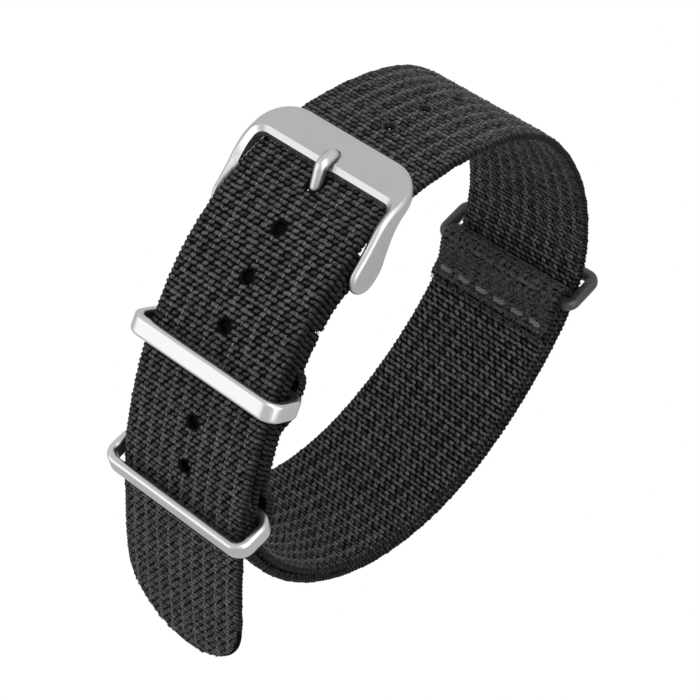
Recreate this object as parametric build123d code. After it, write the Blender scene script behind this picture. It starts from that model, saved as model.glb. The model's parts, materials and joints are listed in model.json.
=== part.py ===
"""Pull-through webbing watch strap with a pin buckle, two keepers and a strap ring.

The strap is closed on itself and stands on the rounded tip of its tail and on the lowest part of
its loop. X runs across the loop, from the buckle side to the ring side, Y runs along the width of
the webbing and Z is up. All lengths are in millimetres, all angles in degrees.
"""
from build123d import *
from math import atan2, cos, degrees, hypot, radians, sin, sqrt
import os

# Webbing
STRAP_WIDTH = 22.0
STRAP_THICKNESS = 1.3
TAIL_GAP = 0.45
LAYER_GAP = 0.08
HALF_TURN = 180.0
SIDE_HALF = STRAP_WIDTH / 2

# Shape of the closed loop, as bends of the long strap's centre line: radius as a share of the
# loop's width, and turn. Two bends have no radius here, because they close the loop.
LOOP_WIDTH = 72.0
CROWN_HEADING = 182.3
TAIL_BEND_SHARES = ((0.407, 51.0), (0.777, 31.0), (3.570, 6.2))
LOOP_BEND_SHARES = ((0.125, 29.7), (0.524, 46.5), (0.447, 50.0), (0.693, 23.1), (0.318, 39.1))
SIDE_CLOSING_TURN = 36.8
SHOULDER_BEND_SHARE = 0.349
SHOULDER_TURN = 30.3

# Adjusting holes, counted from the one that the tongue is through
HOLE_DIAMETER = 2.0
HOLE_PITCH = 7.0
HOLES_TO_TIP = 6
HOLES_TO_WATCH = 4
TONGUE_HOLE_FROM_HINGE = 5.9
TONGUE_HOLE_LENGTH = 3.3

# Spring bar in the fold at the buckle
CROWN_TO_HINGE = 13.3
BAR_DIAMETER = 1.5
BAR_CLEARANCE = 0.05
TUBE_WALL = 0.18
TUBE_LIP = 0.3
TUBE_END_GAP = 0.1
PIN_DIAMETER = 0.8
PIN_CLEARANCE = 0.04
PIN_HEAD_LENGTH = 1.6
PIN_REACH = 0.8
PIN_TRAVEL = 0.9
SPRING_WIRE = 0.18
SPRING_TURNS = 16
SPRING_END_GAP = 0.05

# Fold of the long strap round the spring bar, and its slit for the tongue
FOLD_EXTRA_TURN = 28.0
FOLD_SPLIT = 6.5
FOLD_LEG = 9.6
SLIT_WIDTH = 2.8
SLIT_CLEARANCE = 0.2

# Buckle frame
FRAME_SIDE_GAP = 0.15
ARM_THICKNESS = 1.3
FRONT_BAR_WIDTH = 5.7
FRONT_BAR_THICKNESS = 1.6
FRONT_BAR_FROM_HINGE = 8.1
FRONT_BAR_GAP = 0.15
FRAME_CORNER_RADIUS = 5.0
FRAME_EDGE_RADIUS = 0.6
FRAME_CHAMFER = 0.62
OPENING_CORNER_RADIUS = 1.2
PADDLE_RADIUS = 2.5
PADDLE_RISE = 0.3
PADDLE_TOP_TURN = 13.0
PADDLE_FOOT_TURN = 170.0
WAIST_REACH = 5.9
WAIST_RISE = 0.9
WAIST_SLOPE = 32.0
NOTCH_WIDTH = 2.4
NOTCH_LENGTH = 2.7
NOTCH_DEPTH = 0.95

# Buckle tongue
TONGUE_DIAMETER = 1.75
EYE_CLEARANCE = 0.06
EYE_WALL = 0.7
EYE_WIDTH = 2.2
TONGUE_HOLE_SLOPE = 57.0
TONGUE_REST_GAP = 0.1
TONGUE_CREST_REACH = -0.3
TONGUE_CREST_RISE = 0.35
TONGUE_TIP_REACH = 1.6
TONGUE_BEND_RADIUS = 1.1

# Keepers: flat rounded rings, each with one bar caught between the two sewn layers
KEEPER_BAR_WIDTH = 2.8
KEEPER_BAR_THICKNESS = 1.25
KEEPER_EDGE_RADIUS = 0.55
KEEPER_OPENING = 4.5
KEEPER_SIDE_GAP = 0.7
KEEPER_CORNER_RADIUS = 1.1
TUNNEL_CLEARANCE = 0.36
TUNNEL_RAMP = 3.6
UPPER_KEEPER_FROM_HINGE = 19.5
LOWER_KEEPER_FROM_HINGE = 38.3
LOWER_KEEPER_TILT = 20.0

# Short strap and the ring folded into its end
RING_WIRE = 1.8
RING_SIDE_GAP = 0.25
RING_CORNER_RADIUS = 0.2
RING_EDGE_RADIUS = 0.8
RING_BAR_SPACING = 5.9
RING_TILT = 36.0
RING_GAP = 0.1
RING_PAST_BEND = 5.4
SHORT_STRAP_LEAVES = 24.0
SHORT_STRAP_SLOPE_CHANGE = 16.5
RING_FOLD_STRAIGHT = 7.0
RING_FOLD_SPLIT = 4.2
RING_FOLD_LEG = 6.4
LEG_END_GAP = 0.08

# Seams
THREAD_DIAMETER = 0.34
HEAVY_THREAD_DIAMETER = 0.8
STITCH_COUNT = 6
STITCH_PITCH = 3.4
STITCH_LENGTH = 2.0
HEAVY_STITCH_LENGTH = 1.5
STITCH_CORNER_SHARE = 0.55
NEEDLE_CLEARANCE = 0.04
HINGE_SEAM_FROM_HINGE = 8.2
SEAM_FROM_KEEPER = 6.2
LOWER_SEAM_FROM_KEEPER = 6.4
RING_SEAM_FROM_RING = 4.6

OVERRUN = 5.0


def turned(x, z, heading, along, left):
    """Point reached from (x, z) by going along a heading, then to its left."""
    c, s = cos(radians(heading)), sin(radians(heading))
    return x + along * c - left * s, z + along * s + left * c


def between(angle):
    """The same angle, between minus and plus half a turn."""
    return (angle + HALF_TURN) % (2 * HALF_TURN) - HALF_TURN


class Path:
    """A line in the side view, made of straight runs and tangent arcs."""

    def __init__(self, x, z, heading):
        self.x, self.z, self.heading = x, z, heading
        self.runs = []

    def step(self, frame, length, turn):
        """Frame (x, z, heading) after one run from the given frame."""
        x, z, heading = frame
        angle = radians(turn)
        chord = length * sin(angle / 2) / (angle / 2) if abs(angle) > 1e-9 else length
        px, pz = turned(x, z, heading + turn / 2, chord, 0)
        return px, pz, heading + turn

    def frame(self, station):
        """Frame at a length along the path."""
        here = (self.x, self.z, self.heading)
        for length, turn in self.runs:
            if station <= length:
                return self.step(here, station, turn * station / length)
            here = self.step(here, length, turn)
            station -= length
        return here

    def end(self):
        return self.frame(self.length())

    def length(self):
        return sum(length for length, turn in self.runs)

    def line(self, length):
        self.runs.append((length, 0.0))
        return self

    def arc(self, radius, turn):
        self.runs.append((radius * radians(abs(turn)), turn))
        return self

    def arc_to(self, x, z):
        """One tangent arc that ends at the given point."""
        px, pz, heading = self.end()
        turn = 2 * between(degrees(atan2(z - pz, x - px)) - heading)
        chord = hypot(x - px, z - pz)
        half = radians(turn / 2)
        self.runs.append((chord * half / sin(half) if abs(half) > 1e-9 else chord, turn))
        return self

    def blend_to(self, x, z, heading):
        """Two tangent arcs that end at the given point with the given heading."""
        px, pz, start = self.end()
        ax, az = cos(radians(start)), sin(radians(start))
        bx, bz = cos(radians(heading)), sin(radians(heading))
        vx, vz = x - px, z - pz
        vt = vx * (ax + bx) + vz * (az + bz)
        spread = 2 * (1 - ax * bx - az * bz)
        square = vx * vx + vz * vz
        if spread < 1e-9:
            reach = square / (2 * vt)
        else:
            reach = (sqrt(vt * vt + spread * square) - vt) / spread
        self.arc_to((px + x + reach * (ax - bx)) / 2, (pz + z + reach * (az - bz)) / 2)
        return self.arc_to(x, z)

    def follow(self, guide, start, finish, left):
        """The guide's own runs between two of its stations, moved to its left."""
        station, pieces = 0.0, []
        low, high = min(start, finish), max(start, finish)
        for length, turn in guide.runs:
            a, b = max(station, low), min(station + length, high)
            if b > a:
                share = (b - a) / length
                pieces.append((b - a - left * radians(turn * share), turn * share))
            station += length
        if finish < start:
            pieces = [(length, -turn) for length, turn in reversed(pieces)]
        self.runs += pieces
        return self

    def edges(self, left):
        """The path as edges, moved to its left."""
        here, result = (self.x, self.z, self.heading), []
        for length, turn in self.runs:
            middle = self.step(here, length / 2, turn / 2)
            after = self.step(here, length, turn)
            a, m, b = [place(frame, 0, left) for frame in (here, middle, after)]
            if abs(turn) > 1e-6:
                result.append(ThreePointArc(a, m, b))
            else:
                result.append(Line(a, b))
            here = after
        return result


def place(frame, along, left, y=0.0):
    """Point in space beside a frame of a path."""
    x, z = turned(*frame, along, left)
    return Vector(x, y, z)


def plane_at(frame, along=0.0, left=0.0):
    """Plane with X along the path, Y across the strap and Z to the path's left."""
    c, s = cos(radians(frame[2])), sin(radians(frame[2]))
    return Plane(origin=place(frame, along, left), x_dir=(c, 0, s), z_dir=(-s, 0, c))


def across(edges, half_width):
    """Solid made by drawing a closed side view out to both sides."""
    return extrude(make_face(edges), amount=half_width, both=True)


def band(path, thickness):
    """Webbing along a path."""
    inner, outer = path.edges(thickness / 2), path.edges(-thickness / 2)
    caps = [Line(outer[0] @ 0, inner[0] @ 0), Line(outer[-1] @ 1, inner[-1] @ 1)]
    return across(inner + outer + caps, SIDE_HALF)


# The strap's lines

def tail_line():
    """Centre line of the long strap from the crown of the loop to the tip of its tail."""
    line = Path(0.0, 0.0, CROWN_HEADING)
    for share, turn in TAIL_BEND_SHARES:
        line.arc(share * LOOP_WIDTH, turn)
    return line


def closing_radii(start, finish, first_turn, middle_radius, middle_turn, last_turn):
    """Radii of the first and last of three arcs that join two frames."""
    x, z, heading = start
    middle = heading + first_turn
    last = middle + middle_turn

    def chord(a, b):
        return sin(radians(b)) - sin(radians(a)), cos(radians(a)) - cos(radians(b))

    fx, fz = chord(heading, middle)
    mx, mz = chord(middle, last)
    lx, lz = chord(last, last + last_turn)
    dx = finish[0] - x - middle_radius * mx
    dz = finish[1] - z - middle_radius * mz
    det = fx * lz - fz * lx
    return (dx * lz - dz * lx) / det, (fx * dz - fz * dx) / det


TAIL = tail_line()
UNDER_TAIL = STRAP_THICKNESS + TAIL_GAP
INNER_LAYER = STRAP_THICKNESS + LAYER_GAP
FOLD_RADIUS = BAR_DIAMETER / 2 + BAR_CLEARANCE + STRAP_THICKNESS / 2
STACK_END = sum(length for length, turn in TAIL.runs[:2])
HINGE_FRAME = TAIL.frame(CROWN_TO_HINGE)
BAR_DEPTH = UNDER_TAIL + FOLD_RADIUS
HINGE = place(HINGE_FRAME, 0, BAR_DEPTH)


def long_line():
    """Centre line of the whole long strap, from the cut end of its fold to the tip."""
    leg_end = CROWN_TO_HINGE + FOLD_LEG
    split = CROWN_TO_HINGE + FOLD_SPLIT
    depth = UNDER_TAIL + INNER_LAYER
    x, z, heading = TAIL.frame(leg_end)
    line = Path(*turned(x, z, heading, 0, depth), heading + HALF_TURN)
    line.follow(TAIL, leg_end, split, depth)
    top = HINGE_FRAME[2]
    wrap = HALF_TURN + FOLD_EXTRA_TURN
    entry = top - wrap
    line.blend_to(*turned(HINGE.X, HINGE.Z, entry, 0, -FOLD_RADIUS), entry)
    line.arc(FOLD_RADIUS, wrap)
    hinge_station = line.length()
    line.follow(TAIL, CROWN_TO_HINGE, STACK_END, UNDER_TAIL)
    for share, turn in LOOP_BEND_SHARES:
        line.arc(share * LOOP_WIDTH, turn)
    ring_bend = line.length() - line.runs[-1][0]
    here = line.end()
    shoulder = SHOULDER_BEND_SHARE * LOOP_WIDTH
    last_turn = between(TAIL.heading - here[2] - SIDE_CLOSING_TURN - SHOULDER_TURN)
    side, crown = closing_radii(here, (TAIL.x, TAIL.z), SIDE_CLOSING_TURN, shoulder, SHOULDER_TURN, last_turn)
    line.arc(side, SIDE_CLOSING_TURN).arc(shoulder, SHOULDER_TURN).arc(crown, last_turn)
    crown_station = line.length()
    line.follow(TAIL, 0.0, TAIL.length(), 0.0)
    return line, hinge_station, ring_bend, crown_station


LONG, HINGE_STATION, RING_BEND, CROWN_STATION = long_line()
RING_STATION = RING_BEND + RING_PAST_BEND
RING_FOLD_RADIUS = RING_WIRE / 2 + BAR_CLEARANCE + STRAP_THICKNESS / 2
RING_DEPTH = STRAP_THICKNESS + RING_GAP + RING_FOLD_RADIUS
RING_FRAME = LONG.frame(RING_STATION)
RING_PIVOT = place(RING_FRAME, 0, RING_DEPTH)
KEEPER_STATIONS = {
    "upper": HINGE_STATION + UPPER_KEEPER_FROM_HINGE,
    "lower": HINGE_STATION + LOWER_KEEPER_FROM_HINGE,
}
TUNNEL_HEIGHT = KEEPER_BAR_THICKNESS + 2 * TUNNEL_CLEARANCE
TUNNEL_HALF = KEEPER_BAR_WIDTH / 2 + TUNNEL_CLEARANCE


def short_line():
    """Centre line of the short strap, from its upper end to the cut end of its fold."""
    start = HINGE_STATION + FOLD_LEG + LEG_END_GAP
    x, z, heading = LONG.frame(start)
    line = Path(*turned(x, z, heading, 0, INNER_LAYER), heading)
    bulge = STRAP_THICKNESS + TUNNEL_HEIGHT
    for station in KEEPER_STATIONS.values():
        line.follow(LONG, start, station - TUNNEL_HALF - TUNNEL_RAMP, INNER_LAYER)
        for along, left in ((-TUNNEL_HALF, bulge), (TUNNEL_HALF + TUNNEL_RAMP, INNER_LAYER)):
            x, z, heading = LONG.frame(station + along)
            line.blend_to(*turned(x, z, heading, 0, left), heading)
            if left == bulge:
                line.follow(LONG, station - TUNNEL_HALF, station + TUNNEL_HALF, bulge)
        start = station + TUNNEL_HALF + TUNNEL_RAMP
    leaves = RING_STATION - LOOP_WIDTH / 2 - SHORT_STRAP_LEAVES
    line.follow(LONG, start, leaves, INNER_LAYER)
    slope = RING_FRAME[2] - SHORT_STRAP_SLOPE_CHANGE
    fx, fz = turned(RING_PIVOT.X, RING_PIVOT.Z, slope, 0, -RING_FOLD_RADIUS)
    line.blend_to(*turned(fx, fz, slope, -RING_FOLD_STRAIGHT, 0), slope)
    line.line(RING_FOLD_STRAIGHT)
    fold_station = line.length()
    line.arc(RING_FOLD_RADIUS, HALF_TURN + FOLD_EXTRA_TURN)
    line.blend_to(*turned(fx, fz, slope, -RING_FOLD_SPLIT, INNER_LAYER), slope + HALF_TURN)
    line.line(RING_FOLD_LEG - RING_FOLD_SPLIT)
    return line, fold_station


SHORT, SHORT_FOLD_STATION = short_line()


# Seams

def stitch_places():
    """Middle of each stitch, across the strap."""
    return [(k - (STITCH_COUNT - 1) / 2) * STITCH_PITCH for k in range(STITCH_COUNT)]


def thread_loops(frame, bottom, top, diameter, length):
    """One closed loop of thread for each stitch, round the two layers from bottom to top."""
    radius = diameter / 2
    loops = []
    for y in stitch_places():
        plane = Plane(origin=place(frame, 0, 0, y), x_dir=(0, 1, 0), z_dir=plane_at(frame).x_dir)
        rise = (top + bottom) / 2
        corner = STITCH_CORNER_SHARE * diameter
        outline = Pos(0, rise) * RectangleRounded(length, top - bottom + diameter, corner)
        wire = (plane * outline).face().outer_wire()
        start = wire @ 0
        loops.append(sweep(Plane(origin=start, z_dir=wire % 0) * Circle(radius), path=wire))
    return loops


def needle_holes(frame, bottom, top, diameter, length):
    """Holes that the thread goes through, two for each stitch."""
    plane = plane_at(frame)
    radius = diameter / 2 + NEEDLE_CLEARANCE
    rise, height = (bottom + top) / 2, top - bottom + TAIL_GAP
    return [
        plane * Pos(0, y + side * length / 2, rise) * Cylinder(radius, height)
        for y in stitch_places()
        for side in (-1, 1)
    ]


def stack_seam(station):
    """Seam through the long strap and the layer inside it: frame, lower and upper side."""
    frame = LONG.frame(station)
    return frame, -STRAP_THICKNESS / 2, STRAP_THICKNESS / 2 + INNER_LAYER


SEAMS = {
    "hinge_seam": stack_seam(HINGE_STATION + HINGE_SEAM_FROM_HINGE),
    "upper_keeper_top_seam": stack_seam(KEEPER_STATIONS["upper"] - SEAM_FROM_KEEPER),
    "upper_keeper_bottom_seam": stack_seam(KEEPER_STATIONS["upper"] + SEAM_FROM_KEEPER),
    "lower_keeper_top_seam": stack_seam(KEEPER_STATIONS["lower"] - SEAM_FROM_KEEPER),
    "lower_keeper_bottom_seam": stack_seam(KEEPER_STATIONS["lower"] + LOWER_SEAM_FROM_KEEPER),
}
RING_SEAM = (
    SHORT.frame(SHORT_FOLD_STATION - RING_SEAM_FROM_RING),
    -STRAP_THICKNESS / 2,
    STRAP_THICKNESS / 2 + INNER_LAYER,
)


# Webbing

def hole_stations():
    """Stations of the adjusting holes along the long strap, the tongue's own hole left out."""
    first = CROWN_STATION + CROWN_TO_HINGE - TONGUE_HOLE_FROM_HINGE
    counts = [k for k in range(-HOLES_TO_WATCH, HOLES_TO_TIP + 1) if k != 0]
    return first, [first + k * HOLE_PITCH for k in counts]


def tip_cutter(frame):
    """What is taken off the tail's square end to leave a round tip."""
    plane = plane_at(frame, -SIDE_HALF)
    depth = 2 * STRAP_THICKNESS
    block = plane * Pos(SIDE_HALF, 0) * Box(STRAP_WIDTH, STRAP_WIDTH + OVERRUN, depth)
    return block - plane * Cylinder(SIDE_HALF, depth + OVERRUN)


def long_strap():
    """Long strap, with its fold, holes, slit and round tip."""
    strap = band(LONG, STRAP_THICKNESS)
    strap -= tip_cutter(LONG.end())
    first, others = hole_stations()
    depth = STRAP_THICKNESS + TAIL_GAP
    cuts = [plane_at(LONG.frame(s)) * Cylinder(HOLE_DIAMETER / 2, depth) for s in others]
    cuts.append(extrude(plane_at(LONG.frame(first)) * SlotOverall(TONGUE_HOLE_LENGTH, HOLE_DIAMETER),
                        amount=depth / 2, both=True))
    slit_radius = BAR_DIAMETER / 2 + BAR_CLEARANCE + STRAP_THICKNESS + SLIT_CLEARANCE
    cuts.append(Location(HINGE, (90, 0, 0)) * Cylinder(slit_radius, SLIT_WIDTH))
    for frame, bottom, top in SEAMS.values():
        cuts += needle_holes(frame, bottom, top, THREAD_DIAMETER, STITCH_LENGTH)
    return strap - cuts


def short_strap():
    """Short strap, with its two keeper tunnels and the fold that holds the ring."""
    cuts = []
    for frame, bottom, top in SEAMS.values():
        cuts += needle_holes(frame, bottom, top, THREAD_DIAMETER, STITCH_LENGTH)
    cuts += needle_holes(*RING_SEAM, HEAVY_THREAD_DIAMETER, HEAVY_STITCH_LENGTH)
    return band(SHORT, STRAP_THICKNESS) - cuts


# Metal rings

def ring(frame, pivot, tilt, opening, side_gap, width, thickness, corner, edge_radius):
    """Rounded ring whose first bar lies on the pivot and whose second bar is outside the strap."""
    inner_width = STRAP_WIDTH + 2 * side_gap
    spacing = opening + thickness
    plane = Plane(origin=pivot, x_dir=(0, 1, 0), z_dir=plane_at((0, 0, frame[2] + tilt)).x_dir)
    centre = Pos(0, -spacing / 2)
    outer = centre * RectangleRounded(
        inner_width + 2 * thickness, opening + 2 * thickness, corner + thickness
    )
    hole = centre * RectangleRounded(inner_width, opening, corner)
    body = extrude(plane * (outer - hole), amount=width / 2, both=True)
    return fillet(body.edges(), edge_radius)


def keeper(station, tilt):
    """Keeper whose caught bar lies in the tunnel at the given station."""
    frame = LONG.frame(station)
    pivot = keeper_pivot(station)
    return ring(frame, pivot, tilt, KEEPER_OPENING, KEEPER_SIDE_GAP, KEEPER_BAR_WIDTH,
                KEEPER_BAR_THICKNESS, KEEPER_CORNER_RADIUS, KEEPER_EDGE_RADIUS)


def keeper_pivot(station):
    """Middle of the tunnel that holds a keeper's bar."""
    return place(LONG.frame(station), 0, STRAP_THICKNESS / 2 + TUNNEL_HEIGHT / 2)


def strap_ring():
    """Ring in the fold at the end of the short strap."""
    return ring(RING_FRAME, RING_PIVOT, RING_TILT, RING_BAR_SPACING - RING_WIRE, RING_SIDE_GAP,
                RING_WIRE, RING_WIRE, RING_CORNER_RADIUS, RING_EDGE_RADIUS)


# Buckle, laid out from the hinge: u towards the front bar, v away from the wrist

BUCKLE_HEADING = HINGE_FRAME[2] - HALF_TURN
BUCKLE_PLANE = Plane(
    origin=HINGE,
    x_dir=(cos(radians(BUCKLE_HEADING)), 0, sin(radians(BUCKLE_HEADING))),
    z_dir=(-sin(radians(BUCKLE_HEADING)), 0, cos(radians(BUCKLE_HEADING))),
)
OPENING_HALF = SIDE_HALF + FRAME_SIDE_GAP
FRAME_HALF = OPENING_HALF + ARM_THICKNESS
FRONT_BAR_FRAME = TAIL.frame(CROWN_TO_HINGE - FRONT_BAR_FROM_HINGE)
BAR_FOOT = STRAP_THICKNESS / 2 + FRONT_BAR_GAP
BAR_TOP = BAR_FOOT + FRONT_BAR_THICKNESS


def buckle_point(u, v):
    """Point (x, z) from its distances along and away from the strap at the hinge."""
    return turned(HINGE.X, HINGE.Z, BUCKLE_HEADING, u, v)


def front_bar_point(inward, rise):
    """Point (x, z) from its distance past the front bar's inner edge and above the tail's middle."""
    return turned(*FRONT_BAR_FRAME, -inward, -rise)


def arm_outline():
    """Side view of an arm: along the bar's top, round the paddle and back under the bar."""
    toward_hinge = FRONT_BAR_FRAME[2]
    line = Path(*front_bar_point(FRONT_BAR_WIDTH, BAR_TOP), toward_hinge)
    line.line(FRONT_BAR_WIDTH)
    x, z = buckle_point(0, PADDLE_RISE)
    heading = HINGE_FRAME[2] + PADDLE_TOP_TURN
    line.blend_to(*turned(x, z, heading, 0, -PADDLE_RADIUS), heading)
    line.arc(PADDLE_RADIUS, PADDLE_FOOT_TURN)
    line.blend_to(*buckle_point(WAIST_REACH, WAIST_RISE), BUCKLE_HEADING + WAIST_SLOPE)
    line.blend_to(*front_bar_point(FRONT_BAR_WIDTH, BAR_FOOT), toward_hinge - HALF_TURN)
    edges = line.edges(0.0)
    return edges + [Line(edges[-1] @ 1, edges[0] @ 0)]


def plan_prism(near, far, half_width, radius, low, high):
    """Upright prism with round corners, from one distance past the bar's inner edge to another."""
    base = plane_at(FRONT_BAR_FRAME)
    outline = Pos(-(near + far) / 2, 0) * RectangleRounded(far - near, 2 * half_width, radius)
    return extrude(base * Pos(0, 0, -low) * outline, amount=-(high - low))


def nearest_edge(body, inward):
    """Edge of the front bar's top, at a distance past its inner edge; its rim runs on from there."""
    x, z = front_bar_point(inward, BAR_TOP)
    return body.edges().sort_by_distance((x, 0, z))[0]


def buckle_frame():
    """Frame with a broad front bar, two arched arms and a blind hole in each paddle."""
    body = across(arm_outline(), FRAME_HALF)
    reach = PADDLE_RADIUS + FRONT_BAR_FROM_HINGE + OVERRUN
    depth = BAR_DEPTH + PADDLE_RADIUS + OVERRUN
    body &= plan_prism(-reach, FRONT_BAR_WIDTH, FRAME_HALF, FRAME_CORNER_RADIUS, -depth, BAR_TOP + OVERRUN)
    body = fillet(nearest_edge(body, FRONT_BAR_WIDTH), FRAME_EDGE_RADIUS)
    body -= plan_prism(-reach, 0.0, OPENING_HALF, OPENING_CORNER_RADIUS, -depth, BAR_TOP + OVERRUN)
    body = chamfer(nearest_edge(body, 0.0), FRAME_CHAMFER)
    under = plane_at(FRONT_BAR_FRAME) * Pos(0, 0, (depth - BAR_FOOT) / 2)
    body -= under * Box(2 * reach, 2 * OPENING_HALF, depth + BAR_FOOT)
    hole = Location(HINGE, (90, 0, 0)) * Cylinder(
        PIN_DIAMETER / 2 + PIN_CLEARANCE, 2 * (OPENING_HALF + PIN_REACH + PIN_CLEARANCE)
    )
    return body - hole - tongue_notch()


def tongue_notch():
    """Groove in the front bar that the tongue's tip lies in."""
    plane = plane_at(FRONT_BAR_FRAME) * Pos(0, 0, -BAR_TOP)
    groove = Pos(-NOTCH_LENGTH / 2, 0) * SlotOverall(NOTCH_LENGTH + NOTCH_WIDTH, NOTCH_WIDTH)
    groove = Pos(NOTCH_WIDTH / 2, 0) * groove
    return extrude(plane * groove, amount=NOTCH_DEPTH, both=True)


def buckle_tongue():
    """Wire tongue: eye round the spring bar, up through the strap and over the front bar."""
    eye_inner = BAR_DIAMETER / 2 + EYE_CLEARANCE
    eye_outer = eye_inner + EYE_WALL
    radius = TONGUE_DIAMETER / 2
    hole_u, hole_v = TONGUE_HOLE_FROM_HINGE, BAR_DEPTH - STRAP_THICKNESS / 2
    run = hole_v / sin(radians(TONGUE_HOLE_SLOPE)) * cos(radians(TONGUE_HOLE_SLOPE))
    crest = front_bar_point(TONGUE_CREST_REACH, BAR_TOP + TONGUE_CREST_RISE)
    tip = front_bar_point(TONGUE_TIP_REACH, BAR_TOP - NOTCH_DEPTH + TONGUE_REST_GAP + radius)
    points = [
        buckle_point(eye_inner + EYE_WALL / 2, 0),
        buckle_point(hole_u - run, 0),
        buckle_point(hole_u, hole_v),
        crest,
        tip,
    ]
    wire = FilletPolyline(*[Vector(x, 0, z) for x, z in points], radius=TONGUE_BEND_RADIUS)
    shank = sweep(Plane(origin=wire @ 0, z_dir=wire % 0) * Circle(radius), path=wire)
    shank += Pos(wire @ 1) * Sphere(radius)
    turn = Location(HINGE, (90, 0, 0))
    eye = turn * Cylinder(eye_outer, EYE_WIDTH)
    return eye + shank - turn * Cylinder(eye_inner, EYE_WIDTH + OVERRUN)


# Spring bar

TUBE_HALF = OPENING_HALF - TUBE_END_GAP


def turned_piece(steps):
    """Round piece on the hinge line, from (start, finish, radius) steps along Y."""
    body = None
    for start, finish, radius in steps:
        middle = Location(Vector(HINGE.X, (start + finish) / 2, HINGE.Z), (90, 0, 0))
        piece = middle * Cylinder(radius, abs(finish - start))
        body = piece if body is None else body + piece
    return body


BORE_RADIUS = BAR_DIAMETER / 2 - TUBE_WALL
HEAD_RADIUS = BORE_RADIUS - PIN_CLEARANCE
HEAD_END = TUBE_HALF - TUBE_LIP
HEAD_START = HEAD_END - PIN_HEAD_LENGTH


def spring_bar_tube():
    """Tube with its ends rolled in to keep the pins."""
    body = turned_piece([(-TUBE_HALF, TUBE_HALF, BAR_DIAMETER / 2)])
    body -= turned_piece([(-HEAD_END, HEAD_END, BORE_RADIUS)])
    return body - turned_piece([(-TUBE_HALF, TUBE_HALF, PIN_DIAMETER / 2 + PIN_CLEARANCE)])


def bar_pin(side):
    """Pin with a head inside the tube and a tip in the arm's blind hole."""
    tip = OPENING_HALF + PIN_REACH
    head = turned_piece([(side * HEAD_START, side * HEAD_END, HEAD_RADIUS)])
    return head + turned_piece([(side * HEAD_END, side * tip, PIN_DIAMETER / 2)])


def bar_spring():
    """Coil spring that holds the two pins apart."""
    half = HEAD_START - SPRING_END_GAP - SPRING_WIRE / 2
    mean_radius = BORE_RADIUS - PIN_CLEARANCE - SPRING_WIRE / 2
    helix = Helix(2 * half / SPRING_TURNS, 2 * half, mean_radius)
    coil = sweep(Plane(origin=helix @ 0, z_dir=helix % 0) * Circle(SPRING_WIRE / 2), path=helix, is_frenet=True)
    return Location(Vector(HINGE.X, half, HINGE.Z), (90, 0, 0)) * coil


def parts():
    """Every piece by name."""
    pieces = {
        "long_strap": long_strap(),
        "short_strap": short_strap(),
        "upper_keeper": keeper(KEEPER_STATIONS["upper"], 0.0),
        "lower_keeper": keeper(KEEPER_STATIONS["lower"], LOWER_KEEPER_TILT),
        "strap_ring": strap_ring(),
        "buckle_frame": buckle_frame(),
        "buckle_tongue": buckle_tongue(),
        "spring_bar_tube": spring_bar_tube(),
        "spring_bar_spring": bar_spring(),
        "spring_bar_pin_near": bar_pin(-1),
        "spring_bar_pin_far": bar_pin(1),
        "ring_seam": Compound(children=thread_loops(*RING_SEAM, HEAVY_THREAD_DIAMETER, HEAVY_STITCH_LENGTH)),
    }
    for name, (frame, bottom, top) in SEAMS.items():
        loops = thread_loops(frame, bottom, top, THREAD_DIAMETER, STITCH_LENGTH)
        pieces[name] = Compound(children=loops)
    return pieces


def main():
    """Build the pieces, stand them on the ground plane round the origin, and write them."""
    os.makedirs("parts", exist_ok=True)
    pieces = parts()
    boxes = [piece.bounding_box() for piece in pieces.values()]
    low_x, high_x = min(b.min.X for b in boxes), max(b.max.X for b in boxes)
    floor = min(b.min.Z for b in boxes)
    shift = Vector(-(low_x + high_x) / 2, 0, -floor)
    for name, piece in pieces.items():
        export_step(Pos(shift) * piece, os.path.join("parts", name + ".step"))
        print(name, "volume", round(piece.volume, 2))
    pivots = {
        "crown": Vector(0, 0, 0),
        "hinge": HINGE,
        "upper keeper": keeper_pivot(KEEPER_STATIONS["upper"]),
        "lower keeper": keeper_pivot(KEEPER_STATIONS["lower"]),
        "strap ring": RING_PIVOT,
    }
    for name, point in pivots.items():
        moved = point + shift
        print("pivot", name, round(moved.X, 3), round(moved.Y, 3), round(moved.Z, 3))
    print("size", round(high_x - low_x, 2), "long strap", round(LONG.length(), 1),
          "short strap", round(SHORT.length(), 1))


main()
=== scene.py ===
"""Looks of a pull-through webbing watch strap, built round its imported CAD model.

The webbing is woven yarn by yarn over the two straps' centre lines, the seams are twisted thread,
and the metal parts are the CAD's own solids with soft edges and worked finishes. Lengths in the
settings are millimetres, and every object is placed in metres in the CAD's frame.
"""

import json
import logging
import math
from dataclasses import dataclass, field
from enum import Enum, IntEnum
from typing import Iterable, Sequence

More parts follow.
